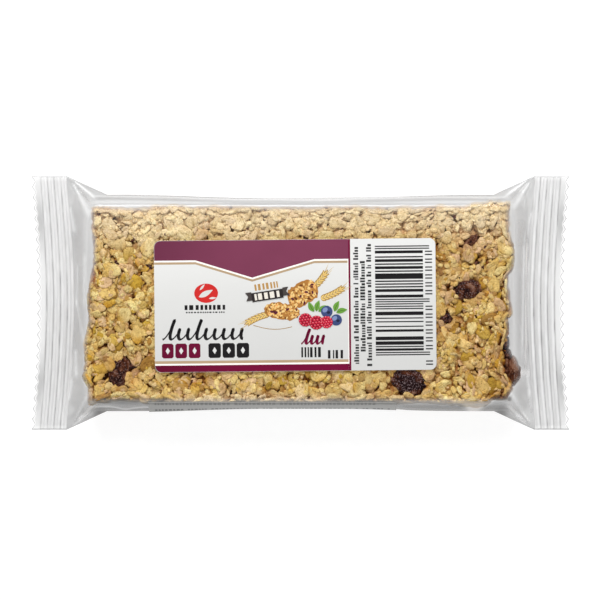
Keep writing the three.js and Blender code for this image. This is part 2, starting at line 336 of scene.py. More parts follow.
def closed_sheets(upper, lower):
    """Points and quads of a closed shell between two sheets on the same grid, the upper one outside.

    The two sheets are joined by a row of quads along each of their four borders.
    """
    rows, columns = upper.shape[:2]
    at = np.arange(rows * columns).reshape(rows, columns)
    under = at + rows * columns

    def quads(a, b, c, d):
        return np.stack([a.ravel(), b.ravel(), c.ravel(), d.ravel()], axis=1)

    faces = [
        quads(at[:-1, :-1], at[1:, :-1], at[1:, 1:], at[:-1, 1:]),
        quads(under[:-1, :-1], under[:-1, 1:], under[1:, 1:], under[1:, :-1]),
        quads(under[:-1, 0], under[1:, 0], at[1:, 0], at[:-1, 0]),
        quads(at[:-1, -1], at[1:, -1], under[1:, -1], under[:-1, -1]),
        quads(at[0, :-1], at[0, 1:], under[0, 1:], under[0, :-1]),
        quads(under[-1, :-1], under[-1, 1:], at[-1, 1:], at[-1, :-1]),
    ]
    points = np.concatenate([upper.reshape(-1, 3), lower.reshape(-1, 3)])
    return points, np.concatenate(faces)


def join_shells(shells):
    """One array of points and one of quads from many shells, each of its own layout."""
    points, quads = zip(*shells)
    starts = np.cumsum([0, *map(len, points[:-1])])
    return np.concatenate(points), np.concatenate([part + start for part, start in zip(quads, starts)])


def ring_faces(rings, segments):
    """Quads and fans of a closed skin whose points are one pole, its rings and the other pole."""
    at = 1 + np.arange(rings * segments).reshape(rings, segments)
    after = np.roll(at, -1, axis=1)
    quads = np.stack([at[:-1], at[1:], after[1:], after[:-1]], axis=-1).reshape(-1, 4)
    top = np.stack([np.zeros(segments, int), at[0], after[0]], axis=1)
    base = np.stack([np.full(segments, rings * segments + 1), after[-1], at[-1]], axis=1)
    return quads, np.concatenate([top, base])


# Materials


class Shader:
    """A short way to write a material's node tree."""

    def __init__(self, name):
        self.material = bpy.data.materials.new(name)
        self.material.use_nodes = True
        self.tree = self.material.node_tree
        self.tree.nodes.clear()

    def add(self, kind, settings=None, **inputs):
        """Adds a node. An input given as a socket is linked, and any other value is set."""
        made = self.tree.nodes.new(kind)
        for key, value in (settings or {}).items():
            setattr(made, key, value)
        for key, value in inputs.items():
            socket = made.inputs[int(key[1:])] if key[1:].isdigit() else made.inputs[key.replace("_", " ")]
            if isinstance(value, bpy.types.NodeSocket):
                self.tree.links.new(value, socket)
            else:
                socket.default_value = value
        return made

    def place(self):
        """Object coordinates, in millimetres."""
        coordinates = self.add("ShaderNodeTexCoord").outputs["Object"]
        scaled = self.add("ShaderNodeVectorMath", {"operation": "SCALE"}, i0=coordinates, Scale=1 / MM)
        return scaled.outputs[0]

    def noise(self, scale, detail=2.0, where=None, roughness=0.5):
        """Noise texture with so many lumps a millimetre."""
        where = self.place() if where is None else where
        made = self.add("ShaderNodeTexNoise", Vector=where, Scale=scale, Detail=detail, Roughness=roughness)
        return made.outputs["Fac"]

    def along(self, axis, start, stop):
        """0 to 1 between two places along an axis, in millimetres."""
        place = self.add("ShaderNodeSeparateXYZ", Vector=self.place()).outputs[axis]
        return self.add("ShaderNodeMapRange", Value=place, From_Min=start, From_Max=stop).outputs[0]

    def ramp(self, factor, *stops):
        """Colour ramp through (place, colour) stops."""
        made = self.add("ShaderNodeValToRGB", Fac=factor)
        elements = made.color_ramp.elements
        while len(elements) < len(stops):
            elements.new(1.0)
        for element, (place, tint) in zip(elements, stops):
            element.position = place
            element.color = (*tint, 1)
        return made.outputs["Color"]

    def mix(self, kind, factor, first, second):
        """Mixes two colours: MIX, MULTIPLY and so on."""
        settings = {"data_type": "RGBA", "blend_type": kind}
        return self.add("ShaderNodeMix", settings, i0=factor, i6=first, i7=second).outputs[2]

    def reckon(self, kind, first, second):
        """What two numbers come to: ADD, MULTIPLY and so on."""
        return self.add("ShaderNodeMath", {"operation": kind}, i0=first, i1=second).outputs[0]

    def attribute(self, name, output="Fac"):
        """What a mesh attribute holds."""
        return self.add("ShaderNodeAttribute", {"attribute_name": name}).outputs[output]

    def bump(self, height, strength, distance):
        """Bump of that many metres."""
        made = self.add("ShaderNodeBump", Strength=strength, Distance=distance, Height=height)
        return made.outputs["Normal"]

    def body(self, tint, roughness, **inputs):
        """A solid surface of this colour and roughness."""
        made = self.add("ShaderNodeBsdfPrincipled", Base_Color=tint, Roughness=roughness, **inputs)
        return made.outputs[0]

    def sticker_waves(self):
        """The faint waves of a sticker that lies on something uneven."""
        return self.bump(self.noise(0.12, 2.0), 0.25, 0.4 * MM)

    def mix_surfaces(self, factor, first, second):
        """Mixes two surfaces: the first where the factor is 0, and the second where it is 1."""
        return self.add("ShaderNodeMixShader", i0=factor, i1=first, i2=second).outputs[0]

    def let_light_through(self, surface, share):
        """The surface as seen, with this share of the lamps' light let through to what lies behind."""
        to_lamp = self.add("ShaderNodeLightPath").outputs["Is Shadow Ray"]
        open_way = self.add("ShaderNodeBsdfTransparent", Color=(share, share, share, 1))
        return self.mix_surfaces(to_lamp, surface, open_way.outputs[0])

    def finish(self, surface):
        """Connects the surface and gives the material back."""
        self.add("ShaderNodeOutputMaterial", Surface=surface)
        return self.material


def oat_material():
    """Baked oats: each flake's colour, with fibres along it, mottling and a thin syrup gloss.

    The flakes' colours carry painted light and shade.
    """
    shader = Shader("baked_oats")
    own = shader.attribute("colour", "Color")
    grain = shader.attribute("grain", "Vector")
    stretched = shader.add(
        "ShaderNodeVectorMath", {"operation": "MULTIPLY"}, i0=grain, i1=(0.7, 3.2, 1.0)
    ).outputs[0]
    fibres = shader.noise(1.0, 3.0, where=stretched, roughness=0.6)
    fibre_tint = shader.ramp(fibres, (0.3, (0.8, 0.74, 0.62)), (0.5, (1, 1, 1)), (0.7, (1.07, 1.07, 1.08)))
    patchy = shader.noise(0.9, 3.0, roughness=0.6)
    mottle = shader.ramp(patchy, (0.32, (0.78, 0.72, 0.6)), (0.5, (1, 1, 1)), (0.72, (1.06, 1.07, 1.1)))
    freckles = shader.ramp(shader.noise(2.6, 2.0), (0.3, (0.5, 0.4, 0.28)), (0.39, (1, 1, 1)))
    tint = shader.mix("MULTIPLY", 1.0, shader.mix("MULTIPLY", 1.0, own, fibre_tint), mottle)
    tint = shader.mix("MULTIPLY", 1.0, tint, freckles)
    height = shader.reckon("ADD", fibres, shader.noise(1.7, 4.0, roughness=0.65))
    relief = shader.bump(height, 0.8, 0.4 * MM)
    return shader.finish(shader.body(tint, 0.5, Specular_IOR_Level=0.14, Normal=relief))


def syrup_material(bar):
    """Meal and baked syrup between the flakes."""
    shader = Shader("syrup_and_meal")
    meal = shader.noise(0.9, 4.0)
    tint = shader.ramp(meal, (0.35, shaded(bar.syrup, 0.45)), (0.6, bar.syrup), (0.75, bar.gold))
    relief = shader.bump(shader.noise(1.8, 4.0), 0.8, 0.4 * MM)
    return shader.finish(shader.body(tint, 0.5, Specular_IOR_Level=0.08, Normal=relief))


def fruit_material(bar):
    """Dried fruit: slightly waxy dark skin, paler on the ridges of its wrinkles.

    The paler ridges and darker folds are painted light and shade. It is browner all over where the
    piece is, and carries specks: greyish ones of sugar bloom, which also serve as painted glints, on
    dark pieces, and brown ones on brown pieces.
    """
    shader = Shader("dried_fruit")
    brown = shader.attribute("brown")
    # Painted light and shade: the skin is paler where its wrinkles stand up and darker in their folds.
    patchy = shader.reckon("MULTIPLY", shader.noise(0.7, 3.0), 1.7)
    level = shader.reckon("MULTIPLY", shader.attribute("ridge"), patchy)
    level = shader.reckon("ADD", level, brown)
    skin = shader.ramp(level, (0.36, bar.fruit), (0.68, bar.fruit_mid), (1.0, bar.fruit_rim))
    bloom = shader.ramp(brown, (0.08, bar.fruit_bloom_glints), (0.26, bar.fruit_rim))
    # Partly painted light: the pale specks stand for sugar bloom and for glints.
    specks = shader.noise(2.2, 3.0, roughness=0.7)
    speckled = shader.ramp(specks, (0.53, (0, 0, 0)), (0.63, (0.85, 0.85, 0.85)))
    skin = shader.mix("MIX", speckled, skin, bloom)
    relief = shader.bump(shader.noise(2.0, 4.0, roughness=0.65), 1.0, 0.7 * MM)
    return shader.finish(shader.body(skin, 0.4, Specular_IOR_Level=0.06, Normal=relief))


def film_material():
    """Clear film: it reflects by its angle, and scatters light where it is milky.

    The same skin is met from inside and from outside, so the index is turned over on its back. It
    lets nearly all the light of the lamps through, and so hardly casts a shadow.
    """
    shader = Shader("clear_film")
    milky = shader.attribute("milky")
    grey = shader.attribute("grey")
    clear = shader.add("ShaderNodeBsdfTransparent", Color=(0.985, 0.985, 0.985, 1))
    ripple = shader.bump(shader.noise(0.35, 2.0), 0.15, 0.3 * MM)
    shine = shader.add("ShaderNodeBsdfGlossy", Color=(1, 1, 1, 1), Roughness=0.09, Normal=ripple)
    back = shader.add("ShaderNodeNewGeometry").outputs["Backfacing"]
    index = shader.add("ShaderNodeMapRange", Value=back, To_Min=1.2, To_Max=1 / 1.2).outputs[0]
    edge = shader.add("ShaderNodeFresnel", IOR=index, Normal=ripple)
    glassy = shader.mix_surfaces(edge.outputs[0], clear.outputs[0], shine.outputs[0])
    mixed = shader.mix_surfaces(milky, glassy, shader.body(grey, 0.25, Normal=ripple))
    return shader.finish(shader.let_light_through(mixed, FILM_OPENNESS))


def paper_material(name, tint):
    """Coated paper: satin, and faintly wavy from what it lies on.

    It is painted greyer towards the near side, as shade, and paler towards the far side, as light.
    """
    shader = Shader(name)
    across = shader.along("Y", -17, 14)
    tone = shader.ramp(across, (0.0, shaded(tint, 0.92)), (0.55, tint), (1.0, shaded(tint, 1.12)))
    body = shader.body(tone, 0.4, Normal=shader.sticker_waves())
    return shader.finish(shader.let_light_through(body, PAPER_OPENNESS))


def ink_material(name, tint, drift=0.06, left_end_shade=False):
    """Printing ink under satin varnish, a little uneven in depth.

    Its last argument makes the ink darker at the sticker's left end, as painted shade.
    """
    shader = Shader(name)
    uneven = shader.noise(0.06, 3.0)
    tone = shader.ramp(uneven, (0.3, shaded(tint, 1 - drift)), (0.7, shaded(tint, 1 + drift)))
    if left_end_shade:
        # Painted shade: the ink darkens towards the sticker's left end.
        left_end = STICKER_X - STICKER_LENGTH / 2
        from_end = shader.along("X", left_end, left_end + 24)
        shade = shader.ramp(from_end, (0.0, (0.7, 0.62, 0.68)), (1.0, (1, 1, 1)))
        tone = shader.mix("MULTIPLY", 1.0, tone, shade)
    body = shader.body(tone, 0.38, Specular_IOR_Level=0.25, Normal=shader.sticker_waves())
    return shader.finish(shader.let_light_through(body, PAPER_OPENNESS))


def floor_material():
    """Frosted white glass, lit from below."""
    shader = Shader("lit_glass")
    grain = shader.ramp(shader.noise(0.4, 2.0), (0.3, (0.19, 0.19, 0.19)), (0.7, (0.21, 0.21, 0.21)))
    glow = {"Emission_Color": (1, 1, 1, 1), "Emission_Strength": 0.86}
    return shader.finish(shader.body(grain, 0.9, Specular_IOR_Level=0.1, **glow))


# The bar


# How far each side of the bar lies from a plain rectangle's: (place along the side, shift) pairs.
TOP_EDGE = [
    (-57, -0.5), (-50, -1.1), (-46, -0.9), (-40, -0.2), (-36, 0.1), (-31, -0.5), (-25, -0.4),
    (-16, -0.6), (0, -0.8), (15, -0.5), (25, -0.9), (36, -0.6), (43, -0.2), (46, -0.6), (50, 0.5),
    (55, 1.3), (60, 1.1),
]
BOTTOM_EDGE = [
    (-60, -1.2), (-57, -0.3), (-50, 0.5), (-45, -0.5), (-40, -0.2), (-36, -1.2), (-30, -1.4),
    (-22, -1.6), (-19, -0.5), (-10, -0.7), (0, -0.9), (5, -1.1), (12, -0.5), (30, -0.5), (40, -0.6),
    (46, -1.3), (50, -2.2), (53, -1.7), (56, 0.6), (60, 0.4),
]
RIGHT_EDGE = [
    (-27, -1.6), (-25, 0.0), (-23, -0.5), (-20, -2.2), (-16, -2.3), (-14, -2.1), (-11, -1.5),
    (-8, -0.9), (-5, -1.6), (-3, -0.7), (1, -1.1), (4, -1.4), (8, -1.3), (11, 0.4), (13, 0.9),
    (15, 0.4), (17, -0.1), (20, -1.2), (22, -1.2), (25, -1.0), (28, -0.4),
]
LEFT_EDGE = [
    (-27, 0.0), (-24, -0.1), (-21, -1.3), (-17, -0.8), (-11, -0.9), (-8, -0.1), (-5, 0.5),
    (-2, -0.1), (3, 0.1), (6, 0.5), (9, 1.2), (13, 1.6), (17, 1.7), (21, 1.2), (25, 1.2), (28, 0.9),
]


def edge_shift(places, edge):
    """The shift of one side of the bar at places along it."""
    return np.interp(places, *np.array(edge).T)


def outline_shift(points):
    """Moves points of a plain rectangular bar to its uneven outline.

    Each of the four sides is shifted by a slow wave along it and a quicker crumbly one, and the
    shift fades out towards the middle of the bar.
    """
    x, y = points[..., 0], points[..., 1]
    at_end = np.where(x > 0, edge_shift(y, RIGHT_EDGE), edge_shift(y, LEFT_EDGE))
    at_side = np.where(y > 0, edge_shift(x, TOP_EDGE), edge_shift(x, BOTTOM_EDGE))
    crumbly = 0.3 * noise(points, 3.1, 5)
    near_x = np.clip((np.abs(x) - 48) / 12, 0, 1) ** 2
    near_y = np.clip((np.abs(y) - 18) / 10, 0, 1) ** 2
    moved = points.copy()
    moved[..., 0] += near_x * (at_end + crumbly)
    moved[..., 1] += near_y * (at_side + crumbly)
    return moved


def contain(points, bar):
    """Draws points that stand out past a plain rectangle's sides back to them.

    They keep a shrinking part of what they stand out, up to 0.2 mm past the bar's size.
    """
    half = np.array([bar.length, bar.width]) / MM / 2 + 0.2
    flat = points[..., :2]
    kept = np.sign(flat) * soft_limit(np.abs(flat), half, 0.5)
    return np.concatenate([kept, points[..., 2:]], axis=-1)


def off_sticker(x, y, clearance):
    """0 where the front sticker lies and 1 from so many millimetres beside it."""
    out_x = np.abs(x - STICKER_X) - (FRONT_HIGH[0] - FRONT_LOW[0]) / 2
    out_y = np.abs(y - STICKER_Y) - (FRONT_HIGH[1] - FRONT_LOW[1]) / 2
    return smooth(np.maximum(out_x, out_y), 0, clearance)


def press(points, top=CROWN_Z, bottom=BASE_Z + 0.2):
    """Presses what stands out of the bar back inside the film tube.

    Above a soft limit a point keeps only a shrinking part of its extra height, so flakes flatten
    against the film and never reach past it. The limit is lower under the sticker. Points beyond
    the tube's slanted sides are set back to them, and so are those outside the flare's corners.
    """
    x, y = points[..., 0], points[..., 1]
    give = 0.45
    z = soft_limit(points[..., 2], top - 0.35 + 0.5 * off_sticker(x, y, 2.0), give)
    z = -soft_limit(-z, -bottom, give)
    beyond = np.maximum(np.abs(y) - CROWN_HALF_WIDTH, 0)
    web = np.minimum(np.abs(y) - beyond + 2.4 * beyond, HALF_WEB)
    flat = flattening(np.abs(x), web)
    clearance = 0.1 + 0.3 * smooth(flat, 0.02, 0.15)
    room = np.where(flat > 0.02, (CROWN_Z - BASE_Z) / 2 * (1 - flat) - clearance, CROWN_Z)
    z = MIDDLE_Z + np.clip(z - MIDDLE_Z, -room, room)
    height = np.abs(z - MIDDLE_Z)
    wall = TUBE_HALF_WIDTH - 0.2 - height / math.tan(SIDE_SLOPE) - waist(x, HALF_WEB - 1.08 * height)
    wall = wall - 0.3 * smooth(height, 6.4, 7.4)
    return triples(x, np.clip(y, -wall, wall), z)


def rounded_bar(bar, inset, columns, rows):
    """Points and faces of a closed rounded bar, with a pole in the middle of each end.

    Each section is a superellipse in Y and Z, and its size falls along X as another superellipse.
    """
    half = np.array([bar.length, bar.width]) / MM / 2 - inset
    height = (CROWN_Z - BASE_Z) / 2 - 0.3 - inset
    power = 7.0
    turn = np.linspace(-math.pi / 2, math.pi / 2, columns)
    along = signed_power(np.sin(turn), 1 / 2.2)
    girth = np.maximum(1 - np.abs(along) ** (2 * power), 0) ** (1 / power)
    angle = np.linspace(0, 2 * math.pi, rows, endpoint=False)
    y = signed_power(np.cos(angle), 2 / power)
    z = signed_power(np.sin(angle), 2 / power)
    along, girth = along[1:-1, None], girth[1:-1, None]
    rings = triples(half[0] * along, half[1] * girth * y, MIDDLE_Z + height * girth * z)
    pole = np.array([[half[0], 0, 0]])
    middle = np.array([[0, 0, MIDDLE_Z]])
    points = np.concatenate([middle - pole, rings.reshape(-1, 3), middle + pole])
    return points, [part[:, ::-1] for part in ring_faces(len(rings), rows)]


def lens(radii, levels, segments):
    """Layout of a closed lens's points (share of the rim's radius, side and turn) and its faces.

    radii and levels give each ring's share of the rim's radius and its side, 1 up and -1 down.
    """
    angle = np.linspace(0, 2 * math.pi, segments, endpoint=False)
    share = np.concatenate([[0], np.repeat(radii, segments), [0]])
    side = np.concatenate([[levels[0]], np.repeat(levels, segments), [levels[-1]]])
    turn = np.concatenate([[0], np.tile(angle, len(radii)), [0]])
    return share, side, turn, ring_faces(len(radii), segments)


def one_each(rng, count):
    """A function that draws one random number for each of so many shapes."""

    def draw(low, high):
        return rng.uniform(low, high, (count, 1))

    return draw


def flake_shapes(rng, count, length, width, thickness, broken=0.0):
    """Rolled oat flakes: flat ovals with corners, a crease along the face and a slight bend.

    The rim is an ellipse, drawn in to the nearest of four random chords, so it has straight runs
    and corners. The face bends like a shallow dish or saddle and is folded along one line, from
    which its height grows on both sides. A broken flake has a nearer chord.
    Each point also keeps its place on the flake, for the fibres, and a number that tells flakes
    apart.
    """
    share, side, turn, faces = lens([0.5, 0.86, 1.0, 0.88], [1, 1, 0.1, -1], 13)
    draw = one_each(rng, count)
    scale = draw(0.72, 1.2)
    half_length = length / 2 * scale * draw(0.9, 1.1)
    half_width = width / 2 * scale * draw(0.82, 1.12)
    rim = 1 + draw(0.0, 0.05) * np.cos(3 * turn + draw(0, 6.3))
    rim = rim + draw(-0.02, 0.24) * np.maximum(np.cos(turn), 0) ** 5
    for chord in range(4):
        reach = draw(0.7, 1.08)
        if chord == 0:
            reach = np.where(draw(0, 1) < broken, draw(0.3, 0.75), reach)
        facing = np.cos(turn - draw(0, 6.3))
        rim = np.minimum(rim, reach / np.maximum(facing, 0.2))
    rim = rim * (1 + rng.normal(0, 0.035, (count, len(turn))))
    along = half_length * rim * share * np.cos(turn)
    across = half_width * rim * share * np.sin(turn)
    half_thick = thickness / 2 * draw(0.7, 1.35)
    z = half_thick * side * (1 - 0.2 * share**2)
    groove = draw(-0.6, 1.0).clip(0) * np.exp(-((across / 0.45) ** 2)) * (side > 0)
    z = z - 0.3 * thickness * groove
    z = z + draw(-0.06, 0.07) * across**2 + draw(-0.06, 0.05) * along**2
    z = z + draw(-0.08, 0.08) * along * across
    facing = draw(0, 6.3)
    z = z + draw(-0.34, 0.34) * np.abs(along * np.cos(facing) + across * np.sin(facing) + draw(-0.8, 0.8))
    z = z + rng.normal(0, 0.09, (count, len(turn))) * (share > 0.2)
    return triples(along, across, z), faces, triples(along, across, draw(0, 40))


def crumb_shapes(rng, count, width):
    """Crumbs of oat: small closed lumps, squashed and knobbly."""
    share, side, turn, faces = lens([0.62, 1.0, 0.66], [0.78, 0.0, -0.78], 7)
    draw = one_each(rng, count)
    knobs = 1 + rng.normal(0, 0.15, (count, len(turn)))
    radius = width / 2 * draw(0.45, 1.35)
    pole = np.where(share == 0, np.sign(side), side)
    along = radius * draw(0.9, 1.7) * knobs * share * np.cos(turn)
    across = radius * draw(0.7, 1.1) * knobs * share * np.sin(turn)
    z = radius * draw(0.45, 0.9) * knobs * pole
    return triples(along, across, z), faces, triples(along, across, draw(0, 40))


def clear_of_fruit(x, y):
    """Whether places lie outside the oval of every fruit that shows on the top."""
    clear = np.ones(len(x), dtype=bool)
    for middle, radii, turn, _ in FRUITS.values():
        if middle[2] > 12.5:
            away = np.column_stack([x - middle[0], y - middle[1]]) @ spin(-turn)
            clear &= ((away / radii[:2]) ** 2).sum(axis=1) > 1
    return clear


def inside_box(x, y, low, high, inset):
    """Whether places lie inside a box, seen from above, and at least so far from its sides."""
    inside_x = (x > low[0] + inset) & (x < high[0] - inset)
    return inside_x & (y > low[1] + inset) & (y < high[1] - inset)


def crown_sites(rng, bar, spacing, depth, under=False):
    """Places on the flat top, or the underside, and which way flakes there face.

    They are a jittered honeycomb without what a sticker hides. Near the bar's sides they lie
    deeper and lean outwards.
    """
    half_x, half_y = bar.length / MM / 2 - 1.2, bar.width / MM / 2 - 1.1
    row_step = spacing * math.sqrt(3) / 2
    y, x = np.mgrid[-half_y : half_y + 0.01 : row_step, -half_x : half_x + 0.01 : spacing]
    x = x + spacing / 2 * (np.arange(len(x)) % 2)[:, None]
    x = (x + rng.uniform(-0.38, 0.38, x.shape) * spacing).ravel()
    y = (y + rng.uniform(-0.38, 0.38, y.shape) * spacing).ravel()
    keep = (np.abs(x) < half_x + 0.2) & (np.abs(y) < half_y + 0.2)
    sticker = (BACK_LOW, BACK_HIGH) if under else (FRONT_LOW, FRONT_HIGH)
    keep &= ~inside_box(x, y, *sticker, 0.8 * spacing)
    if not under and depth < 1.5:
        keep &= clear_of_fruit(x, y)
    x, y = x[keep], y[keep]
    far_x, far_y = np.abs(x) - half_x, np.abs(y) - half_y
    shoulder = smooth(far_x, -3, 0.5) + smooth(far_y, -3, 0.5)
    clump = 0.55 * noise(flat_places(x, y), 5.0, 43)
    depths = depth + rng.uniform(-0.25, 0.25, len(x)) + 0.66 * shoulder + clump
    lean_x = 0.6 * np.sign(x) * smooth(far_x, -3, 0)
    lean_y = 0.6 * np.sign(y) * smooth(far_y, -3, 0)
    normals = unit(triples(lean_x, lean_y, -1.0 if under else 1.0))
    z = BASE_Z + 0.25 + depths if under else CROWN_Z - 0.15 - depths
    return triples(x, y, z), normals


def wall_sites(rng, bar, spacing, depth):
    """Places on the four upright sides, and which way flakes there face.

    They lie on rows round the bar, from its underside to its top.
    """
    half_x, half_y = bar.length / MM / 2 - depth, bar.width / MM / 2 - depth
    corner = 1.3
    straight_x, straight_y = 2 * (half_x - corner), 2 * (half_y - corner)
    quarter = math.pi / 2 * corner
    whole = 2 * (straight_x + straight_y) + 4 * quarter
    levels = np.linspace(BASE_Z + 1.4, CROWN_Z - 1.5, max(2, int(round(12.5 / (spacing * 0.87)))))
    per_row = int(whole / spacing)
    s = (np.arange(per_row)[None] + rng.uniform(-0.4, 0.4, (len(levels), per_row))) * whole / per_row
    z = levels[:, None] + rng.uniform(-0.35, 0.35, s.shape) * spacing
    s, z = s.ravel() % whole, np.clip(z.ravel(), BASE_Z + 1.0, CROWN_Z - 1.1)
    # Each quarter of the way round is one straight side, told by its length and its middle, and
    # then the arc at its end, told by the corner that it rounds.
    quarters = [
        (straight_y, (half_x, 0), (1, 1)),
        (straight_x, (0, half_y), (-1, 1)),
        (straight_y, (-half_x, 0), (-1, -1)),
        (straight_x, (0, -half_y), (1, -1)),
    ]
    x, y, outward = np.zeros_like(s), np.zeros_like(s), np.zeros_like(s)
    start = 0.0
    for index, (run, side, (sign_x, sign_y)) in enumerate(quarters):
        heading = index * math.pi / 2
        on_run = (s >= start) & (s < start + run)
        step = s - start - run / 2
        x = np.where(on_run, side[0] - math.sin(heading) * step, x)
        y = np.where(on_run, side[1] + math.cos(heading) * step, y)
        outward = np.where(on_run, heading, outward)
        start += run
        on_arc = (s >= start) & (s < start + quarter)
        bend = heading + (s - start) / corner
        x = np.where(on_arc, sign_x * (half_x - corner) + corner * np.cos(bend), x)
        y = np.where(on_arc, sign_y * (half_y - corner) + corner * np.sin(bend), y)
        outward = np.where(on_arc, bend, outward)
        start += quarter
    rise = (z - MIDDLE_Z) / (CROWN_Z - MIDDLE_Z)
    out_x, out_y = np.cos(outward), np.sin(outward)
    inset = 0.9 * np.abs(rise) ** 6 + rng.uniform(-0.3, 0.3, len(s))
    return triples(x - inset * out_x, y - inset * out_y, z), unit(triples(out_x, out_y, 0.9 * rise**5))


def strew(rng, shapes, sites, normals, tilt):
    """Lays each shape at a site, its face turned to the normal, tilted and spun at random."""
    helper = unit(rng.normal(0, 1, sites.shape))
    lean = np.cross(normals, helper) * np.tan(np.radians(rng.uniform(0, tilt, (len(sites), 1))))
    up = unit(normals + lean)
    first = unit(np.cross(up, unit(rng.normal(0, 1, sites.shape))))
    second = np.cross(up, first)
    return sites[:, None] + shapes @ np.stack([first, second, up], axis=1)


def join_copies(points, faces):
    """One array of points and faces from many copies of the same layout."""
    count, each = points.shape[:2]
    shift = (np.arange(count) * each)[:, None, None]
    return points.reshape(-1, 3), [(part[None] + shift).reshape(-1, part.shape[1]) for part in faces]


def near_fruit(x, y):
    """1 at the fruit that shows on the top, and falling off over a few millimetres round it."""
    near = np.zeros_like(x)
    for middle, radii, *_ in FRUITS.values():
        away = np.hypot(x - middle[0], y - middle[1]) - 0.8 * max(radii)
        near = np.maximum(near, np.exp(-((np.maximum(away, 0) / 2.6) ** 2)) * min(1, max(radii) / 2.5))
    return near


def oat_colours(rng, bar, points, grain):
    """A colour for each point of each flake.

    A flake mixes two of the bar's five oat colours and turns golden towards one of its sides.
    Clumps of flakes are lighter or darker than others, as painted light and shade of their relief.
    Patches of the bar, and what lies round the fruit, are stained. The far edge and a part of the
    near one are paler, as painted light. What lies low between its neighbours is darker and browner,
    partly from syrup soaked in and partly as painted shade.
    """
    count, each = points.shape[:2]
    shades = np.array([bar.cream, bar.tan, bar.gold, bar.blush, bar.toast])
    pick = rng.choice(5, size=count, p=[0.34, 0.32, 0.12, 0.17, 0.05])
    other = rng.choice(5, size=count, p=[0.3, 0.4, 0.12, 0.13, 0.05])
    flake = towards(shades[pick], shades[other], rng.uniform(0, 0.45, (count, 1)))
    flake = flake * rng.uniform(0.84, 1.09, (count, 1))
    full = flake[:, None] * (1 + rng.normal(0, 0.06, (count, each, 1)))
    facing = rng.uniform(0, 2 * math.pi, (count, 1))
    across = grain[..., 0] * np.cos(facing) + grain[..., 1] * np.sin(facing)
    golden = rng.choice(2, size=(count, 1, 1), p=[0.25, 0.75]) * rng.uniform(0.3, 0.95, (count, 1, 1))
    golden = golden * smooth(across, -0.4, 2.2)[..., None]
    full = towards(full, np.array(bar.gold) * (0.35 + 0.85 * full), golden)
    # Painted light and shade: clumps of flakes are lighter or darker, standing for their relief.
    clump = noise(points, 3.4, 45)[..., None]
    full = full * (1 + clump * np.array([0.17, 0.2, 0.26]))
    x, y, z = points[..., 0], points[..., 1], points[..., 2]
    patch = smooth(noise(points, 7.0, 41), 0.1, 0.7)
    stained = np.clip(0.45 * patch + 0.6 * near_fruit(x, y), 0, 0.7)[..., None]
    full = towards(full, full * np.array(bar.stain) * 1.35, stained)
    # Painted light: flakes along the far edge, and along a part of the near edge, are mixed towards a pale
    # colour.
    edge_light_share = 0.68 * smooth(y + 2.5 * noise(points, 9.0, 42), 13, 25)
    near_edge_light = 0.7 * smooth(noise(points, 6.0, 44) - y, 24.5, 27.5) * bell(x, -8, 30)
    edge_light_share = np.maximum(edge_light_share, near_edge_light)[..., None]
    full = towards(full, np.array(bar.edge_light) * rng.uniform(0.85, 1.1, (count, 1, 1)), edge_light_share)
    # Painted shade, partly syrup: flakes that lie low between their neighbours turn darker and browner.
    from_end = bar.length / MM / 2 + 0.3 - np.abs(x)
    from_side = bar.width / MM / 2 + 0.3 - np.abs(y)
    sunk = np.min([CROWN_Z - z, z - BASE_Z, from_end, from_side], axis=0)[..., None]
    syrup_and_shade = 0.94 * smooth(sunk, 0.4, 1.75) * (1 - 0.75 * edge_light_share)
    full = towards(full, np.array(bar.syrup) * (0.45 + 0.75 * full), syrup_and_shade)
    return np.clip(full, 0, 1).reshape(-1, 3)


def oat_piece(name, salt, layers, material, shapes_of):
    """One piece of flakes or crumbs from layers of (sites, normals, tilt)."""
    rng = new_rng(salt)
    bar = bpy.context.scene.bar_settings
    laid, colours, grains = [], [], []
    for sites, normals, tilt in layers:
        shapes, faces, grain = shapes_of(rng, len(sites))
        points = press(outline_shift(contain(strew(rng, shapes, sites, normals, tilt), bar)))
        laid.append(points)
        colours.append(oat_colours(rng, bar, points, grain))
        grains.append(grain.reshape(-1, 3))
    points, faces = join_copies(np.concatenate(laid), faces)
    colours, grains = np.concatenate(colours), np.concatenate(grains)
    return make_piece(name, points, faces, material, "oats", "pack", colour=colours, grain=grains)


class BAR_OT_core(Operator):
    """Make the meal and syrup that the flakes are set in"""

    bl_idname = "granola.core"
    bl_label = "Bar core"

    def execute(self, context):
        bar = context.scene.bar_settings
        points, faces = rounded_bar(bar, 1.8, 220, 200)
        outward = unit(points - np.array([0, 0, MIDDLE_Z]))
        lumps = 0.45 * noise(points, 2.7, 21) + 0.25 * noise(points, 1.2, 22)
        points = outline_shift(points + outward * lumps[:, None])
        make_piece("bar_core", points, faces, syrup_material(bar), "oats", "pack")
        return {"FINISHED"}


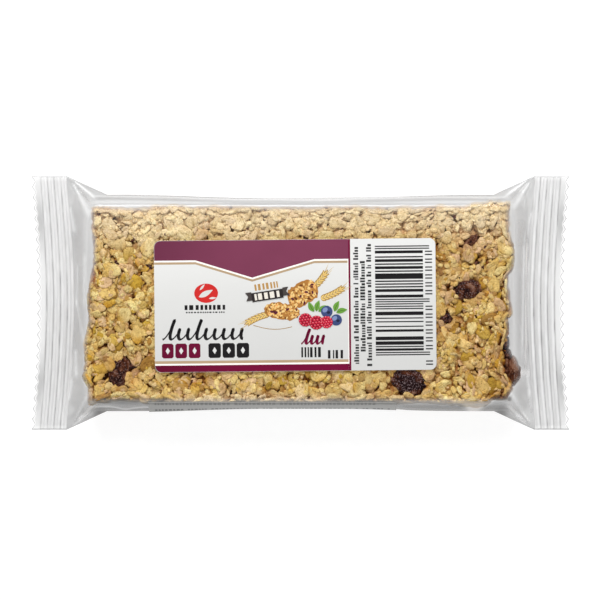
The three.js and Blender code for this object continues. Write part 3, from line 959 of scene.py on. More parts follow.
class BAR_OT_oats(Operator):
    """Make the oat flakes and crumbs on the top, sides and underside of the bar"""

    bl_idname = "granola.oats"
    bl_label = "Oat flakes"

    def execute(self, context):
        bar = context.scene.bar_settings
        rng = new_rng(1)
        material = oat_material()
        length, width, thickness = bar.flake_length / MM, bar.flake_width / MM, bar.flake_thickness / MM
        whole = partial(flake_shapes, length=length, width=width, thickness=thickness, broken=0.25)
        split = partial(whole, broken=0.55)
        small = partial(
            flake_shapes, length=0.62 * length, width=0.62 * width, thickness=0.8 * thickness, broken=0.6
        )
        crumb = partial(crumb_shapes, width=bar.crumb_size / MM)

        def crown(spacing, depth, tilt, under=False):
            return *crown_sites(rng, bar, spacing, depth, under), tilt

        def walls(spacing, depth, tilt):
            return *wall_sites(rng, bar, spacing, depth), tilt

        layers = [crown(3.2, 2.2, 20), crown(3.15, 1.4, 30), crown(3.9, 0.75, 30)]
        oat_piece("crown_oat_flakes", 2, layers, material, whole)
        layers = [crown(2.7, 0.9, 45), crown(3.6, 0.6, 35)]
        oat_piece("broken_oat_flakes", 6, layers, material, small)
        layers = [walls(3.5, 1.5, 18), walls(3.9, 0.9, 20)]
        oat_piece("side_oat_flakes", 3, layers, material, split)
        layers = [crown(3.6, 1.2, 15, under=True), crown(4.0, 0.55, 14, under=True)]
        oat_piece("under_oat_flakes", 4, layers, material, whole)
        layers = [crown(1.9, 0.8, 80), crown(2.6, 0.55, 80), walls(2.6, 0.6, 80)]
        layers.append(crown(4.0, 0.7, 80, under=True))
        oat_piece("oat_crumbs", 5, layers, material, crumb)
        return {"FINISHED"}


# How brown the small scraps of fruit are, from 0 for dark to 1.
SCRAP_BROWN = 0.15

# Dried fruit: the middle of each piece, its three half sizes, its turn in degrees and how brown it is.
FRUITS = {
    "raisin_near_left": ((-51.9, -19.4, 14.1), (3.2, 5.0, 1.9), -14, 0.18),
    "raisin_lobe_left": ((-48.0, -18.0, 13.9), (1.7, 0.9, 1.3), 4, 0.05),
    "berry_mid_right": ((47.9, 4.0, 14.3), (4.3, 3.0, 1.7), 10, 0.14),
    "berry_upper_right": ((48.6, 17.6, 13.4), (3.1, 1.7, 1.4), 35, 0.24),
    "raisin_under_sticker": ((31.2, -22.4, 13.9), (5.5, 4.8, 1.9), -14, 0.0),
    "raisin_at_end": ((60.25, -19.3, 10.6), (2.9, 4.9, 2.9), 6, 0.35),
    "fruit_scrap_end": ((59.4, -14.4, 12.0), (1.3, 1.7, 1.3), 15, SCRAP_BROWN),
    "small_berry_right": ((41.3, -4.2, 14.4), (1.9, 1.5, 1.0), 30, 0.0),
    "small_berry_end": ((58.6, -11.4, 13.0), (1.5, 2.3, 1.4), 0, 0.05),
    "fruit_scrap_left": ((-52.3, 11.6, 14.3), (1.1, 0.8, 0.7), 0, SCRAP_BROWN),
    "fruit_scrap_by_label": ((-49.4, 12.0, 14.2), (0.8, 0.7, 0.6), 60, SCRAP_BROWN),
    "fruit_scrap_near_label": ((-43.4, 10.6, 14.3), (1.3, 0.7, 0.7), -35, SCRAP_BROWN),
    "fruit_scrap_lower_left": ((-53.9, 6.1, 14.3), (1.1, 0.8, 0.7), 20, SCRAP_BROWN),
    "fruit_scrap_mid_left": ((-51.6, -4.6, 14.2), (0.8, 0.8, 0.6), 0, SCRAP_BROWN),
    "fruit_scrap_low_left": ((-50.4, -11.5, 14.2), (0.8, 0.7, 0.6), 0, SCRAP_BROWN),
    "fruit_scrap_bottom": ((-15.4, -24.8, 14.3), (1.4, 0.9, 0.7), 40, SCRAP_BROWN),
    "fruit_scrap_low": ((-11.0, -23.0, 14.3), (0.9, 0.7, 0.6), 0, SCRAP_BROWN),
    "fruit_peel_bottom": ((-30.9, -22.2, 14.4), (1.5, 0.5, 0.5), 65, SCRAP_BROWN),
    "fruit_scrap_upper_right": ((52.6, 15.9, 14.3), (1.2, 0.7, 0.6), 30, SCRAP_BROWN),
    "fruit_scrap_right": ((51.9, 10.3, 14.3), (1.0, 0.7, 0.6), -40, SCRAP_BROWN),
}


def fruit_shape(middle, radii, turn, seed):
    """A dried berry: a ball with deep folds round it, flattened and turned about Z.

    The radius falls in narrow valleys where slow noise crosses zero, so the skin stands up in
    rounded ridges between them.
    """
    columns, rows = 40, 24
    around = np.linspace(0, 2 * math.pi, columns, endpoint=False)
    down = np.linspace(0, math.pi, rows)[1:-1, None]
    skin = triples(np.sin(down) * np.cos(around), np.sin(down) * np.sin(around), np.cos(down))
    directions = np.concatenate([[[0, 0, 1]], skin.reshape(-1, 3), [[0, 0, -1]]])
    spread = directions * np.array([1.7, 1.7, 1.3])
    wrinkles = np.abs(noise(spread + seed, 0.85, seed)) ** 0.6
    fine = np.abs(noise(spread + seed, 0.4, seed + 1))
    radius = 0.8 + 0.22 * wrinkles + 0.07 * fine + 0.1 * noise(spread, 1.4, seed + 2)
    shape = directions * radius[:, None] * np.array(radii)
    shape[:, :2] = shape[:, :2] @ spin(turn)
    ridge = np.clip(0.75 * wrinkles + 0.45 * fine, 0, 1)
    return shape + np.array(middle), ring_faces(rows - 2, columns), ridge


class BAR_OT_fruit(Operator):
    """Make the raisins and dried berries that show between the flakes"""

    bl_idname = "granola.fruit"
    bl_label = "Dried fruit"

    def execute(self, context):
        bar = context.scene.bar_settings
        material = fruit_material(bar)

        def fruit_piece(name, points, faces, ridge, brown):
            brown = np.full(len(points), brown)
            make_piece(name, points, faces, material, "dried_fruit", "pack", ridge=ridge, brown=brown)

        for index, (name, (middle, radii, turn, brown)) in enumerate(FRUITS.items()):
            points, faces, ridge = fruit_shape(middle, radii, turn, 31 + 5 * index)
            fruit_piece(name, press(points, top=CROWN_Z + 0.25), faces, ridge, brown)
        rng = new_rng(9)
        sites, normals = crown_sites(rng, bar, 9.0, 0.75)
        shapes, faces, grain = crumb_shapes(rng, len(sites), 1.15)
        points, faces = join_copies(press(strew(rng, shapes, sites, normals, 60)), faces)
        ridge = np.clip(0.5 + 0.5 * noise(3 * grain.reshape(-1, 3), 1.0, 33), 0, 1)
        fruit_piece("fruit_crumbs", points, faces, ridge, SCRAP_BROWN)
        return {"FINISHED"}


# The film


def crown_section(web):
    """Y and height of the tube's upper section at the length web from the crown's middle.

    The line runs along the flat crown, round a small arc, and down a straight slope to the fold.
    """
    half = (CROWN_Z - BASE_Z) / 2
    arc_height = half - EDGE_RADIUS * (1 - math.cos(SIDE_SLOPE))
    arc_length = EDGE_RADIUS * SIDE_SLOPE
    whole = CROWN_HALF_WIDTH + arc_length + arc_height / math.sin(SIDE_SLOPE)
    along = web / HALF_WEB * whole
    turn = np.clip((along - CROWN_HALF_WIDTH) / EDGE_RADIUS, 0, SIDE_SLOPE)
    down = np.maximum(along - CROWN_HALF_WIDTH - arc_length, 0)
    y = np.minimum(along, CROWN_HALF_WIDTH) + EDGE_RADIUS * np.sin(turn) + down * math.cos(SIDE_SLOPE)
    height = half - EDGE_RADIUS * (1 - np.cos(turn)) - down * math.sin(SIDE_SLOPE)
    return y, height


def end_bow(web):
    """How far a seal bows in towards the bar, most at the middle of its width."""
    return END_BOW * (1 - (web / HALF_WEB) ** 2.5) ** 1.6


def flattening(x, web):
    """How much of the way the section has gone from the body's to the flat seal's."""
    edge = smooth(web, 0.6 * HALF_WEB, HALF_WEB)
    start = TUBE_END + (FLARE_START - TUBE_END) * edge
    end = SEAL_START - end_bow(web)
    share = np.clip((x - start) / (end - start), 0, 1)
    return (1 - edge) * smooth(share, 0, 1) + edge * share


# The folds and creases that run from a seal to the bar's end. Each is told by which end of the pack
# it lies at, where it starts by the seal and where it ends by the bar (distance along the pack and
# place across it), its half width at both, its height, and its painted paleness: a painted highlight
# where it catches the light, and painted shade where it is below 0.
FOLDS = [
    (-1, (65.4, 34.2), (60.1, 24.6), 0.25, 1.1, 0.55, 0.22),
    (-1, (65.8, 34.9), (59.7, 28.2), 0.2, 0.35, -0.25, -0.12),
    (-1, (64.9, 34.9), (57.4, 29.0), 0.25, 0.5, 0.5, 0.3),
    (-1, (66.3, 27.5), (64.9, 20.0), 0.35, 0.95, 0.25, 0.28),
    (-1, (61.8, 13.8), (61.9, -1.5), 0.45, 0.5, 0.3, 0.2),
    (-1, (63.9, 11.0), (64.3, -1.0), 0.3, 0.35, 0.2, 0.2),
    (-1, (64.4, 1.0), (61.8, -12.5), 0.35, 0.55, 0.25, 0.2),
    (-1, (64.6, -13.5), (64.3, -21.5), 0.45, 0.6, 0.3, 0.26),
    (-1, (66.6, -28.0), (65.8, -21.5), 0.3, 0.45, 0.25, 0.24),
    (-1, (65.0, -34.2), (60.6, -26.2), 0.18, 0.75, 0.6, 0.3),
    (-1, (65.0, -34.2), (57.6, -28.3), 0.12, 0.75, -0.4, -0.32),
    (-1, (65.6, -35.4), (59.4, -31.0), 0.16, 0.5, 0.45, 0.24),
    (1, (65.9, 34.6), (60.9, 26.6), 0.3, 1.0, 0.55, 0.17),
    (1, (65.8, 35.3), (60.0, 29.4), 0.25, 0.5, -0.25, -0.1),
    (1, (65.6, 35.5), (58.4, 30.4), 0.25, 0.5, 0.5, 0.3),
    (1, (64.2, 30.6), (64.4, 26.5), 0.2, 0.25, 0.2, 0.14),
    (1, (66.4, 26.0), (65.0, 18.0), 0.35, 0.8, 0.25, 0.24),
    (1, (63.0, 23.5), (62.8, 16.5), 1.4, 1.2, 0.0, -0.12),
    (1, (64.3, 19.0), (63.6, -14.5), 0.4, 0.5, 0.3, 0.36),
    (1, (65.0, 20.0), (64.7, -18.0), 0.24, 0.28, -0.2, -0.6),
    (1, (65.4, -27.6), (66.4, -31.3), 0.14, 0.18, -0.3, -0.24),
    (1, (65.1, -20.5), (66.1, -27.0), 0.4, 0.5, 0.35, 0.24),
    (1, (66.0, -34.6), (60.1, -25.9), 0.2, 1.0, 0.6, 0.32),
    (1, (65.6, -34.8), (58.6, -28.9), 0.13, 0.8, -0.4, -0.42),
    (1, (65.4, -35.3), (59.6, -30.9), 0.18, 0.5, 0.4, 0.22),
]


def folds(x, y):
    """Height of the folds at places in the pack's plane, and their painted highlights and shade.

    Across a fold both fall off as a bell, and along it they rise from the seal and fade at the bar.
    """
    height, pale = np.zeros_like(x), np.zeros_like(x)
    for end, start, stop, start_width, stop_width, rise, light in FOLDS:
        run = np.array([stop[0] - start[0], stop[1] - start[1]])
        long = math.hypot(*run)
        dx, dy = x * end - start[0], y - start[1]
        along = (dx * run[0] + dy * run[1]) / long**2
        across = (dx * run[1] - dy * run[0]) / long
        width = start_width + (stop_width - start_width) * np.clip(along, 0, 1)
        fold = bell(across, 0, width) * smooth(along, -0.08, 0.1) * (1 - smooth(along, 0.85, 1.15))
        fold = fold * (x * end > 0)
        height += rise * fold
        pale += light * fold
    return height, pale


def piece_points(name):
    """A finished piece's points, in millimetres."""
    mesh = bpy.data.objects[name].data
    points = np.empty(3 * len(mesh.vertices), dtype=np.float32)
    mesh.vertices.foreach_get("co", points)
    return points.reshape(-1, 3) / MM


def spread_grid(grid, steps, kind):
    """Lets each cell take the highest (or the mean) of itself and its neighbours, so many times."""
    for _ in range(steps):
        wide = np.pad(grid, 1, mode="edge")
        near = [wide[1:-1, 1:-1], wide[:-2, 1:-1], wide[2:, 1:-1], wide[1:-1, :-2], wide[1:-1, 2:]]
        grid = np.max(near, axis=0) if kind == "highest" else np.mean(near, axis=0)
    return grid


class Drape:
    """Height of film that is pulled tight over the top of the bar.

    The highest point in each cell of a grid is spread to its neighbours and then smoothed, so the
    film rests on what stands highest and spans the gaps. Last it is lifted off all it would cut.
    """

    CELL = 0.5

    def __init__(self, names):
        self.low = np.array([-64.0, -31.0])
        shape = tuple(1 + np.rint(-2 * self.low / self.CELL).astype(int))
        bare = CROWN_Z - 0.05
        grid = np.full(shape, bare)
        filled = np.zeros(shape)
        for name in names:
            points = piece_points(name)
            at = np.rint((points[:, :2] - self.low) / self.CELL).astype(int)
            inside = (at >= 0).all(axis=1) & (at[:, 0] < shape[0]) & (at[:, 1] < shape[1])
            np.maximum.at(grid, (at[inside, 0], at[inside, 1]), points[inside, 2])
            filled[at[inside, 0], at[inside, 1]] = 1
        clearance = 0.07
        film = spread_grid(spread_grid(grid, 4, "highest"), 5, "mean")
        short = spread_grid(np.maximum(grid + clearance - film, 0), 2, "highest")
        self.heights = film + spread_grid(short, 2, "mean")
        closed = spread_grid(filled, 2, "highest")
        self.filled = spread_grid(1 - spread_grid(1 - closed, 4, "highest"), 2, "mean")

    def read(self, grid, x, y):
        """What a grid holds at these places, eased between its cells."""
        place = (np.stack([x, y], axis=-1) - self.low) / self.CELL
        top = np.array(grid.shape) - 2
        base = np.clip(np.floor(place).astype(int), 0, top)
        part = np.clip(place - base, 0, 1)
        i, j, u, v = base[..., 0], base[..., 1], part[..., 0], part[..., 1]
        near = grid[i, j] * (1 - v) + grid[i, j + 1] * v
        far = grid[i + 1, j] * (1 - v) + grid[i + 1, j + 1] * v
        return near * (1 - u) + far * u

    def height(self, x, y):
        """The film's height above the table."""
        return self.read(self.heights, x, y)

    def over_bar(self, x, y):
        """1 over the bar, 0 beside it."""
        return self.read(self.filled, x, y)


def crimp_wave(depth, web, film):
    """Height of the crimps at a depth into the seal, how deep in a valley a place is, and its turns.

    The turns count the ridges from the seal's inner edge.
    The ridges are a cosine between narrow valleys. The innermost ridge widens in the middle of the
    pack's width, where it has a faint valley of its own.
    """
    pitch = (SEAL_DEPTH - CUT_MARGIN) / film.crimps
    inside = 1 - smooth(depth, SEAL_DEPTH - CUT_MARGIN + 0.15, SEAL_DEPTH - CUT_MARGIN + 0.5)
    turns = depth / pitch + 0.04 * np.sin(web * 0.21 + 1.3)
    ridge = 0.5 - 0.5 * np.cos(2 * math.pi * turns)
    valley = bell(turns, np.rint(turns), 0.12) * inside
    spread = 1 - smooth(np.abs(web), 0.3 * HALF_WEB, 0.8 * HALF_WEB)
    faint = 0.6 * spread * bell(turns, 0.45, 0.1)
    valley = valley * (0.78 + 0.3 * noise(flat_places(4 * turns, web), 3.4, 67))
    height = film.crimp_height / MM * ((ridge**0.7 - 0.5) * inside - 0.3 * faint)
    return height, np.clip(valley + 0.6 * faint, 0, 1), turns


def tooth_trim(web, film):
    """How far the cut edge lies back at a place across the seal: an even, slightly rounded zigzag."""
    phase = (web + HALF_WEB) / PACK_WIDTH * film.teeth
    zigzag = 1 - np.abs(2 * (phase - np.floor(phase)) - 1)
    return film.tooth_depth / MM * (0.5 * zigzag + 0.5 * smooth(zigzag, 0, 1))


def film_grid(film):
    """Places of the film's points: along the pack, across the flat film, and depth into a seal.

    Along the pack they go from the cut to the seal's inner edge, down the flare, along the body and
    out again. Each line across bows in at a seal, as the seal does, and at the cut it has teeth.
    """
    body = np.linspace(-FLARE_START, FLARE_START, 171)
    flare = np.linspace(0, 1, 25)[1:]
    seal = np.linspace(0, SEAL_DEPTH, 61)[1:]
    webs = np.linspace(-HALF_WEB, HALF_WEB, film.teeth * 6 + 1)[None, :]
    bow = end_bow(np.abs(webs))
    inner = SEAL_START - bow * INNER_BOW / END_BOW
    flares = FLARE_START + flare[:, None] * (inner - FLARE_START)
    teeth = tooth_trim(webs, film) * smooth(seal[:, None], SEAL_DEPTH - 1.6, SEAL_DEPTH)
    cut = PACK_LENGTH / 2 - bow - teeth
    seals = inner + seal[:, None] / SEAL_DEPTH * (cut - inner)
    half = np.concatenate([flares, seals])
    x = np.concatenate([-half[::-1], np.repeat(body[:, None], webs.shape[1], axis=1), half])
    web = np.repeat(webs, len(x), axis=0)
    depth = np.concatenate([np.full(len(flare), -1.0), seal])
    depth = np.concatenate([depth[::-1], np.full(len(body), -1.0), depth])[:, None] + 0 * web
    return x, web, depth


def seal_finish(x, y, depth, edge, valley, turns):
    """Grey of the end seals: pale ridges, dark valleys, streaks, and a thin line round the cut.

    The pale ridges and lines are painted highlights, and the dark valleys are painted shade.
    """
    streaks = noise(flat_places(3 * x, 0.28 * y), 1.0, 64)
    slope = turns - np.floor(turns)
    # Painted light and shade on the ridges: pale crests, one flank darker, and a thin dark line along each.
    crest = 0.75 - 0.13 * smooth(np.where(x < 0, slope, 1 - slope), 0.15, 0.9)
    double = 0.5 + 0.5 * smooth(np.abs(y + 3), 6, 20)
    crest = crest - 0.17 * bell(slope, 0.45, 0.06) * smooth(streaks, -0.7, 0.3) * double
    in_crimps = 1 - smooth(depth, SEAL_DEPTH - CUT_MARGIN, SEAL_DEPTH - CUT_MARGIN + 0.5)
    quarter = bell(np.abs(y), 23.5, 7.5)
    margin = 0.76 - 0.3 * quarter * (1 - smooth(depth, SEAL_DEPTH - 0.9, SEAL_DEPTH - 0.4))
    grey = towards(margin, crest, in_crimps)
    # Painted shade: darker in the crimp valleys and towards the near side.
    grey = grey + (0.07 * streaks - 0.05 * (1 - smooth(y, -9, 9))) * in_crimps - 0.38 * valley
    # Painted highlights: pale lines just inside the cut and along the side folds.
    bright = np.maximum(bell(depth, SEAL_DEPTH - 0.55, 0.26), bell(edge, 0.7, 0.3))
    grey = grey + 0.18 * bright
    rim = np.maximum(smooth(depth, SEAL_DEPTH - 0.32, SEAL_DEPTH - 0.2), 1 - smooth(edge, 0.12, 0.3))
    return towards(grey, 0.5, rim)


def side_grey(x, y, in_from_fold, near):
    """Grey of the film beside the bar's long sides, by how far in from the side fold it lies.

    The far side is an even grey with a dark and a pale line, and a dark line along the bar's edge.
    The near side is dark with a pale line, and paler towards the right end. The pale lines and the
    paler right end are painted highlights, and the dark lines and the dark near side are painted shade.
    """
    far_grey = 0.46 - 0.19 * bell(in_from_fold, 1.3, 0.5) + 0.16 * bell(in_from_fold, 0.45, 0.22)
    far_grey = far_grey + 0.08 * smooth(-y, -29.3, -28.7) - 0.22 * bell(y, 28.15, 0.25)
    near_line = bell(in_from_fold, 1.25 - 0.65 * bell(x, -50.4, 2.8), 0.27) * (x < 0)
    near_grey = 0.11 + 0.42 * near_line + 0.12 * bell(in_from_fold, 0.25, 0.2)
    near_grey = near_grey + (0.06 + 0.32 * smooth(x, 24, 30)) * bell(y, -28.3, 0.5)
    return towards(far_grey, near_grey, near)


def film_finish(x, y, web, depth, valley, turns, pale, over_bar):
    """How milky the film's top is at each point, and how light or dark a grey it scatters.

    Over the bar the film is clear, but for milky pale strips along the bar's edges, a painted sheen.
    Beside it the film shows as bands of grey along the sides and as an even grey at the ends, where
    the folds are paler. These greys are painted light and shade.
    """
    seal = smooth(depth, -0.05, 0.1)
    near = 1 - smooth(y, -7, 7)
    end = smooth(np.abs(x), 57.5, 61.0)
    cloud = noise(flat_places(x, 0.5 * y), 5.0, 63)
    in_from_fold = TUBE_HALF_WIDTH - waist(x, HALF_WEB) - np.abs(y)
    in_from_fold = in_from_fold + 0.25 * noise(flat_places(0.11 * x, 0.4 * y), 1.0, 65)

    end_grey = 0.425 - 0.03 * near + 0.035 * np.sign(x) + 0.06 * cloud + 1.35 * pale
    beside_grey = towards(side_grey(x, y, in_from_fold, near), end_grey, end)
    beside_milky = towards(0.8 + 0.05 * near, np.clip(0.64 + 1.2 * pale, 0, 1), end)
    # Painted shade: a darker grey line along the side fold.
    fold_line = 1 - smooth(HALF_WEB - np.abs(web), 0.25, 0.6)
    beside_grey = towards(beside_grey, 0.3, fold_line)

    # Painted sheen: the film is made milky and pale over the bar's far edge and along its near edge.
    haze = 0.05 * smooth(y, 18, 27.5) + 0.02 * np.maximum(cloud, 0) * smooth(y, 12, 25)
    haze = haze + 0.42 * smooth(-y, 26.9, 28.5) + 0.3 * bell(x, -46.5, 5) * smooth(y, 25.6, 27.8)
    tube_milky = towards(beside_milky, haze, over_bar)
    tube_grey = towards(beside_grey * beside_milky, 0.8 * haze, over_bar) / np.maximum(tube_milky, 0.01)
    milky = towards(tube_milky, 0.82, seal)
    grey = towards(tube_grey, seal_finish(x, y, depth, HALF_WEB - np.abs(web), valley, turns), seal)
    return np.clip(milky, 0, 0.95), np.clip(grey, 0.03, 0.9)


def film_sheets(film, drape):
    """The film's upper and lower sheets, with how milky and how grey each point is.

    Both follow the tube's section, flattened towards the seals. The upper one also has the folds,
    puckers by the seals and slack sides, and over the bar it lies on what the drape says.
    """
    x, web, depth = film_grid(film)
    flat = flattening(np.abs(x), np.abs(web))
    body_y, body_height = crown_section(np.abs(web))
    body_y = body_y - waist(x, np.abs(web))
    y = np.sign(web) * towards(body_y, np.abs(web), flat)
    height = body_height * (1 - flat)
    in_seal = smooth(depth, 0, 0.15)
    crimps, valley, turns = crimp_wave(np.maximum(depth, 0), web, film)
    crimps, valley = crimps * in_seal, valley * in_seal
    rise, pale = folds(x, y)
    thick = film.thickness / MM / 2

    on_crown = 1 - smooth(np.abs(web), CROWN_HALF_WIDTH - 0.5, CROWN_HALF_WIDTH + 2.2)
    on_bar = on_crown * (1 - smooth(flat, 0.02, 0.35))
    loose = noise(flat_places(0.4 * x, y), 2.6, 61)
    puckers = smooth(flat, 0.05, 0.4) * (1 - smooth(flat, 0.85, 1.0))
    side = smooth(np.abs(web), CROWN_HALF_WIDTH + 1, CROWN_HALF_WIDTH + 4)
    slack = 0.3 * side * noise(flat_places(0.12 * x, y), 1.9, 62) * (1 - smooth(flat, 0.0, 0.6))
    beside_back = smooth(np.maximum(BACK_LOW[0] - x, x - BACK_HIGH[0]), 0, 4)
    slack = np.where(y < 0, slack * beside_back, slack)
    raised = np.maximum(height + (rise + 0.3 * puckers * loose) * (1 - in_seal), thick)
    upper_z = MIDDLE_Z + raised + crimps + slack
    upper_z = upper_z + on_bar * (drape.height(x, y) - CROWN_Z + 0.03 * loose)
    lower_z = MIDDLE_Z - np.maximum(height, thick) + crimps
    upper = triples(x, y + np.sign(web) * slack * 0.6, upper_z)
    lower = triples(x, y + np.sign(web) * slack * 0.3, lower_z)
    milky, grey = film_finish(x, y, web, depth, valley, turns, pale, drape.over_bar(x, y))
    by_fold = smooth(np.abs(web), HALF_WEB - 6.5, HALF_WEB - 0.5)
    in_flare = smooth(flat, 0.1, 0.5) * (1 - in_seal)
    lower_milky = 0.03 + 0.4 * in_seal + 0.27 * in_flare + 0.5 * by_fold * (1 - in_seal) * (1 - in_flare)
    lower_grey = 0.35 + 0.35 * in_seal
    milky = np.concatenate([milky.ravel(), lower_milky.ravel()])
    grey = np.concatenate([grey.ravel(), lower_grey.ravel()])
    return upper, lower, milky, grey


class FILM_OT_wrap(Operator):
    """Make the clear film: the tube over the bar, its crimped end seals and its pinked cuts"""

    bl_idname = "granola.film"
    bl_label = "Clear film"

    def execute(self, context):
        film = context.scene.film_settings
        on_top = ["crown_oat_flakes", "broken_oat_flakes", "side_oat_flakes", "oat_crumbs", *FRUITS]
        upper, lower, milky, grey = film_sheets(film, Drape(on_top))
        points, quads = closed_sheets(upper, lower)
        make_piece("film_wrap", points, [quads], film_material(), "film", "pack", milky=milky, grey=grey)
        return {"FINISHED"}


class FILM_OT_seam(Operator):
    """Make the long seam: a crimped flap of film folded flat under the bar"""

    bl_idname = "granola.seam"
    bl_label = "Long seam"

    def execute(self, context):
        film = context.scene.film_settings
        x, y = np.meshgrid(np.linspace(-59.8, 59.8, 241), np.linspace(2.0, 11.0, 46), indexing="ij")
        ridges = 0.07 * np.sin(y * 2 * math.pi / 1.5) * smooth(y, 3.0, 3.6)
        sag = 0.03 * noise(flat_places(x, y), 6.0, 71)
        lower_z = 0.1 + ridges + sag
        upper, lower = triples(x, y, lower_z + film.thickness / MM), triples(x, y, lower_z)
        points, quads = closed_sheets(upper, lower)
        milky = np.full(len(points), 0.45)
        # Painted light and shade: the grey is paler on the ridges' crests and darker in their troughs.
        grey = 0.6 + 3 * np.tile(ridges.ravel(), 2)
        make_piece("long_seam", points, [quads], film_material(), "film", "pack", milky=milky, grey=grey)
        return {"FINISHED"}


# The stickers and their print. Print is laid out in millimetres from the front sticker's middle.


def between(first, second, low, high):
    """Points and quads of a closed flat plate between two lines of points, from low to high."""
    x, y = np.array([second, first], float).T
    return closed_sheets(triples(x, y, high), triples(x, y, low))


def block(left, right, bottom, top):
    """Upper and lower line of a rectangle."""
    return [[left, top], [right, top]], [[left, bottom], [right, bottom]]


def oval(x, y, half_length, half_width, turn=0.0, steps=15):
    """Upper and lower line of an ellipse turned by so many degrees."""
    along = -np.cos(np.linspace(0, math.pi, steps))
    across = np.sqrt(np.maximum(1 - along**2, 0.0016))
    lines = [np.column_stack([half_length * along, side * half_width * across]) for side in (1, -1)]
    return [line @ spin(turn) + [x, y] for line in lines]


def leaf(x, y, length, width, turn, bend=0.0, steps=13):
    """Upper and lower line of a leaf or grain: two arcs that meet in points at both ends."""
    along = np.linspace(0, 1, steps)
    swell = width / 2 * np.sin(math.pi * along**0.85) + 0.015
    middle = bend * np.sin(math.pi * along)
    lines = [np.column_stack([length * along, middle + side * swell]) for side in (1, -1)]
    return [line @ spin(turn) + [x, y] for line in lines]


def stroke(line, widths):
    """Two lines on either side of a curve, as far apart as widths says."""
    line = np.asarray(line, float)
    heading = unit(np.gradient(line, axis=0))
    out = np.column_stack([-heading[:, 1], heading[:, 0]]) * (np.asarray(widths)[:, None] / 2)
    return line + out, line - out


def letters(rng, left, right, bottom, top, pitch, gap=0.3):
    """Plain blocks in place of a word's letters: rectangles of uneven width in a row."""
    widths = rng.uniform(0.6, 1.3, max(1, round((right - left) / pitch)))
    widths = widths * (right - left) / widths.sum()
    starts = left + np.concatenate([[0], np.cumsum(widths)[:-1]])
    return [block(at, at + wide * (1 - gap), bottom, top) for at, wide in zip(starts, widths)]


def small_line(rng, low, high, pitch=0.85):
    """Where tiny blocks start and end along a line, with wider gaps now and then, as between words."""
    widths = pitch * rng.uniform(0.4, 0.8, int((high - low) / pitch))
    gaps = pitch * np.where(rng.random(len(widths)) < 0.14, 1.1, 0.3)
    ends = low + np.cumsum(widths + gaps) - gaps
    return [(end - wide, end) for end, wide in zip(ends, widths) if end < high]


def tiles(left, right, bottom, top, count, gap=0.5, corner=0.45):
    """A row of equal tiles with cut corners, and a small diamond for the middle of each."""
    wide = (right - left - gap * (count - 1)) / count
    middle = (bottom + top) / 2
    shapes, diamonds = [], []
    for index in range(count):
        x = left + index * (wide + gap)
        across = [x, x + corner, x + wide - corner, x + wide]
        upper = np.column_stack([across, [top - corner, top, top, top - corner]])
        lower = np.column_stack([across, [bottom + corner, bottom, bottom, bottom + corner]])
        shapes.append((upper, lower))
        across = x + wide / 2 + np.array([-0.6, 0, 0.6])
        reach = np.array([0.03, 1.0, 0.03])
        diamonds.append([np.column_stack([across, middle + side * reach]) for side in (1, -1)])
    return shapes, diamonds


def turned_lines(lines, x, y, degrees):
    """Two lines turned about a place."""
    return [(np.asarray(line, float) - [x, y]) @ spin(degrees) + [x, y] for line in lines]


def pen_wave(left, right, base, low, high, waves, tall, weight):
    """A slanted pen wave on a base line, thick where the pen goes down and thin where it goes up.

    Its height is low, and swells to high at the shares of its length that tall lists.
    """
    t = np.linspace(0, 1, 26 * waves)
    turn = 2 * math.pi * waves * t
    swell = np.max([bell(t, at, 0.55 / waves) for at in tall], axis=0)
    rise = (low + (high - low) * swell) * (0.5 - 0.5 * np.cos(turn))
    x = left + (right - left) * t + 0.42 * rise + 0.2 * (right - left) / waves * np.sin(turn)
    widths = weight * (0.4 + 0.6 * smooth(-np.sin(turn), -0.6, 0.5))
    return stroke(np.column_stack([x, base + rise]), widths)


def on_front_sticker(points):
    """Points laid out from the front sticker's middle, turned with it and put in its place."""
    turned = points.copy()
    turned[:, :2] = points[:, :2] @ spin(STICKER_TURN) + [STICKER_X, STICKER_Y]
    return turned


class Ink:
    """Collects flat shapes of one ink, then makes them one piece on a sticker."""

    def __init__(self, name, tint, layer=0, drift=0.06, left_end_shade=False):
        self.name = name
        self.material = ink_material(name + "_ink", tint, drift, left_end_shade)
        self.low = FRONT_HIGH[2] + PRINT_LIFT * layer
        self.shells = []

    def fill(self, *shapes):
        """Adds flat shapes, each told by its two lines."""
        for first, second in shapes:
            self.shells.append(between(first, second, self.low - 0.03, self.low + PRINT_LIFT))

    def print(self):
        """Makes the piece, in its place on the front sticker."""
        points, quads = join_shells(self.shells)
        points = on_front_sticker(points)
        make_piece(self.name, points, [quads], self.material, "sticker_ink", "front_sticker", flat=True)


def rounded_plate(length, width, corner, low, high, columns=90, rows=60):
    """Points and quads of a closed plate with round corners.

    Each row across the plate is as long as the corner arcs leave it.
    """
    v = -np.cos(np.linspace(0, math.pi, rows)) * width / 2
    into = np.maximum(np.abs(v) - (width / 2 - corner), 0)
    reach = length / 2 - corner + np.sqrt(np.maximum(corner**2 - into**2, 0))
    u = np.linspace(-1, 1, columns)[:, None]
    return closed_sheets(triples(u * reach, v, high), triples(u * reach, v, low))


class STICKER_OT_front(Operator):
    """Make the front sticker's paper"""

    bl_idname = "granola.front_sticker"
    bl_label = "Front sticker"

    def execute(self, context):
        sticker = context.scene.sticker_settings
        high = FRONT_HIGH[2]
        low = high - sticker.thickness / MM
        points, quads = rounded_plate(STICKER_LENGTH, STICKER_WIDTH, sticker.corner / MM, low, high)
        points = on_front_sticker(points)
        paper = paper_material("front_paper", sticker.paper)
        make_piece("front_label", points, [quads], paper, "sticker_paper", "front_sticker", flat=True)
        return {"FINISHED"}


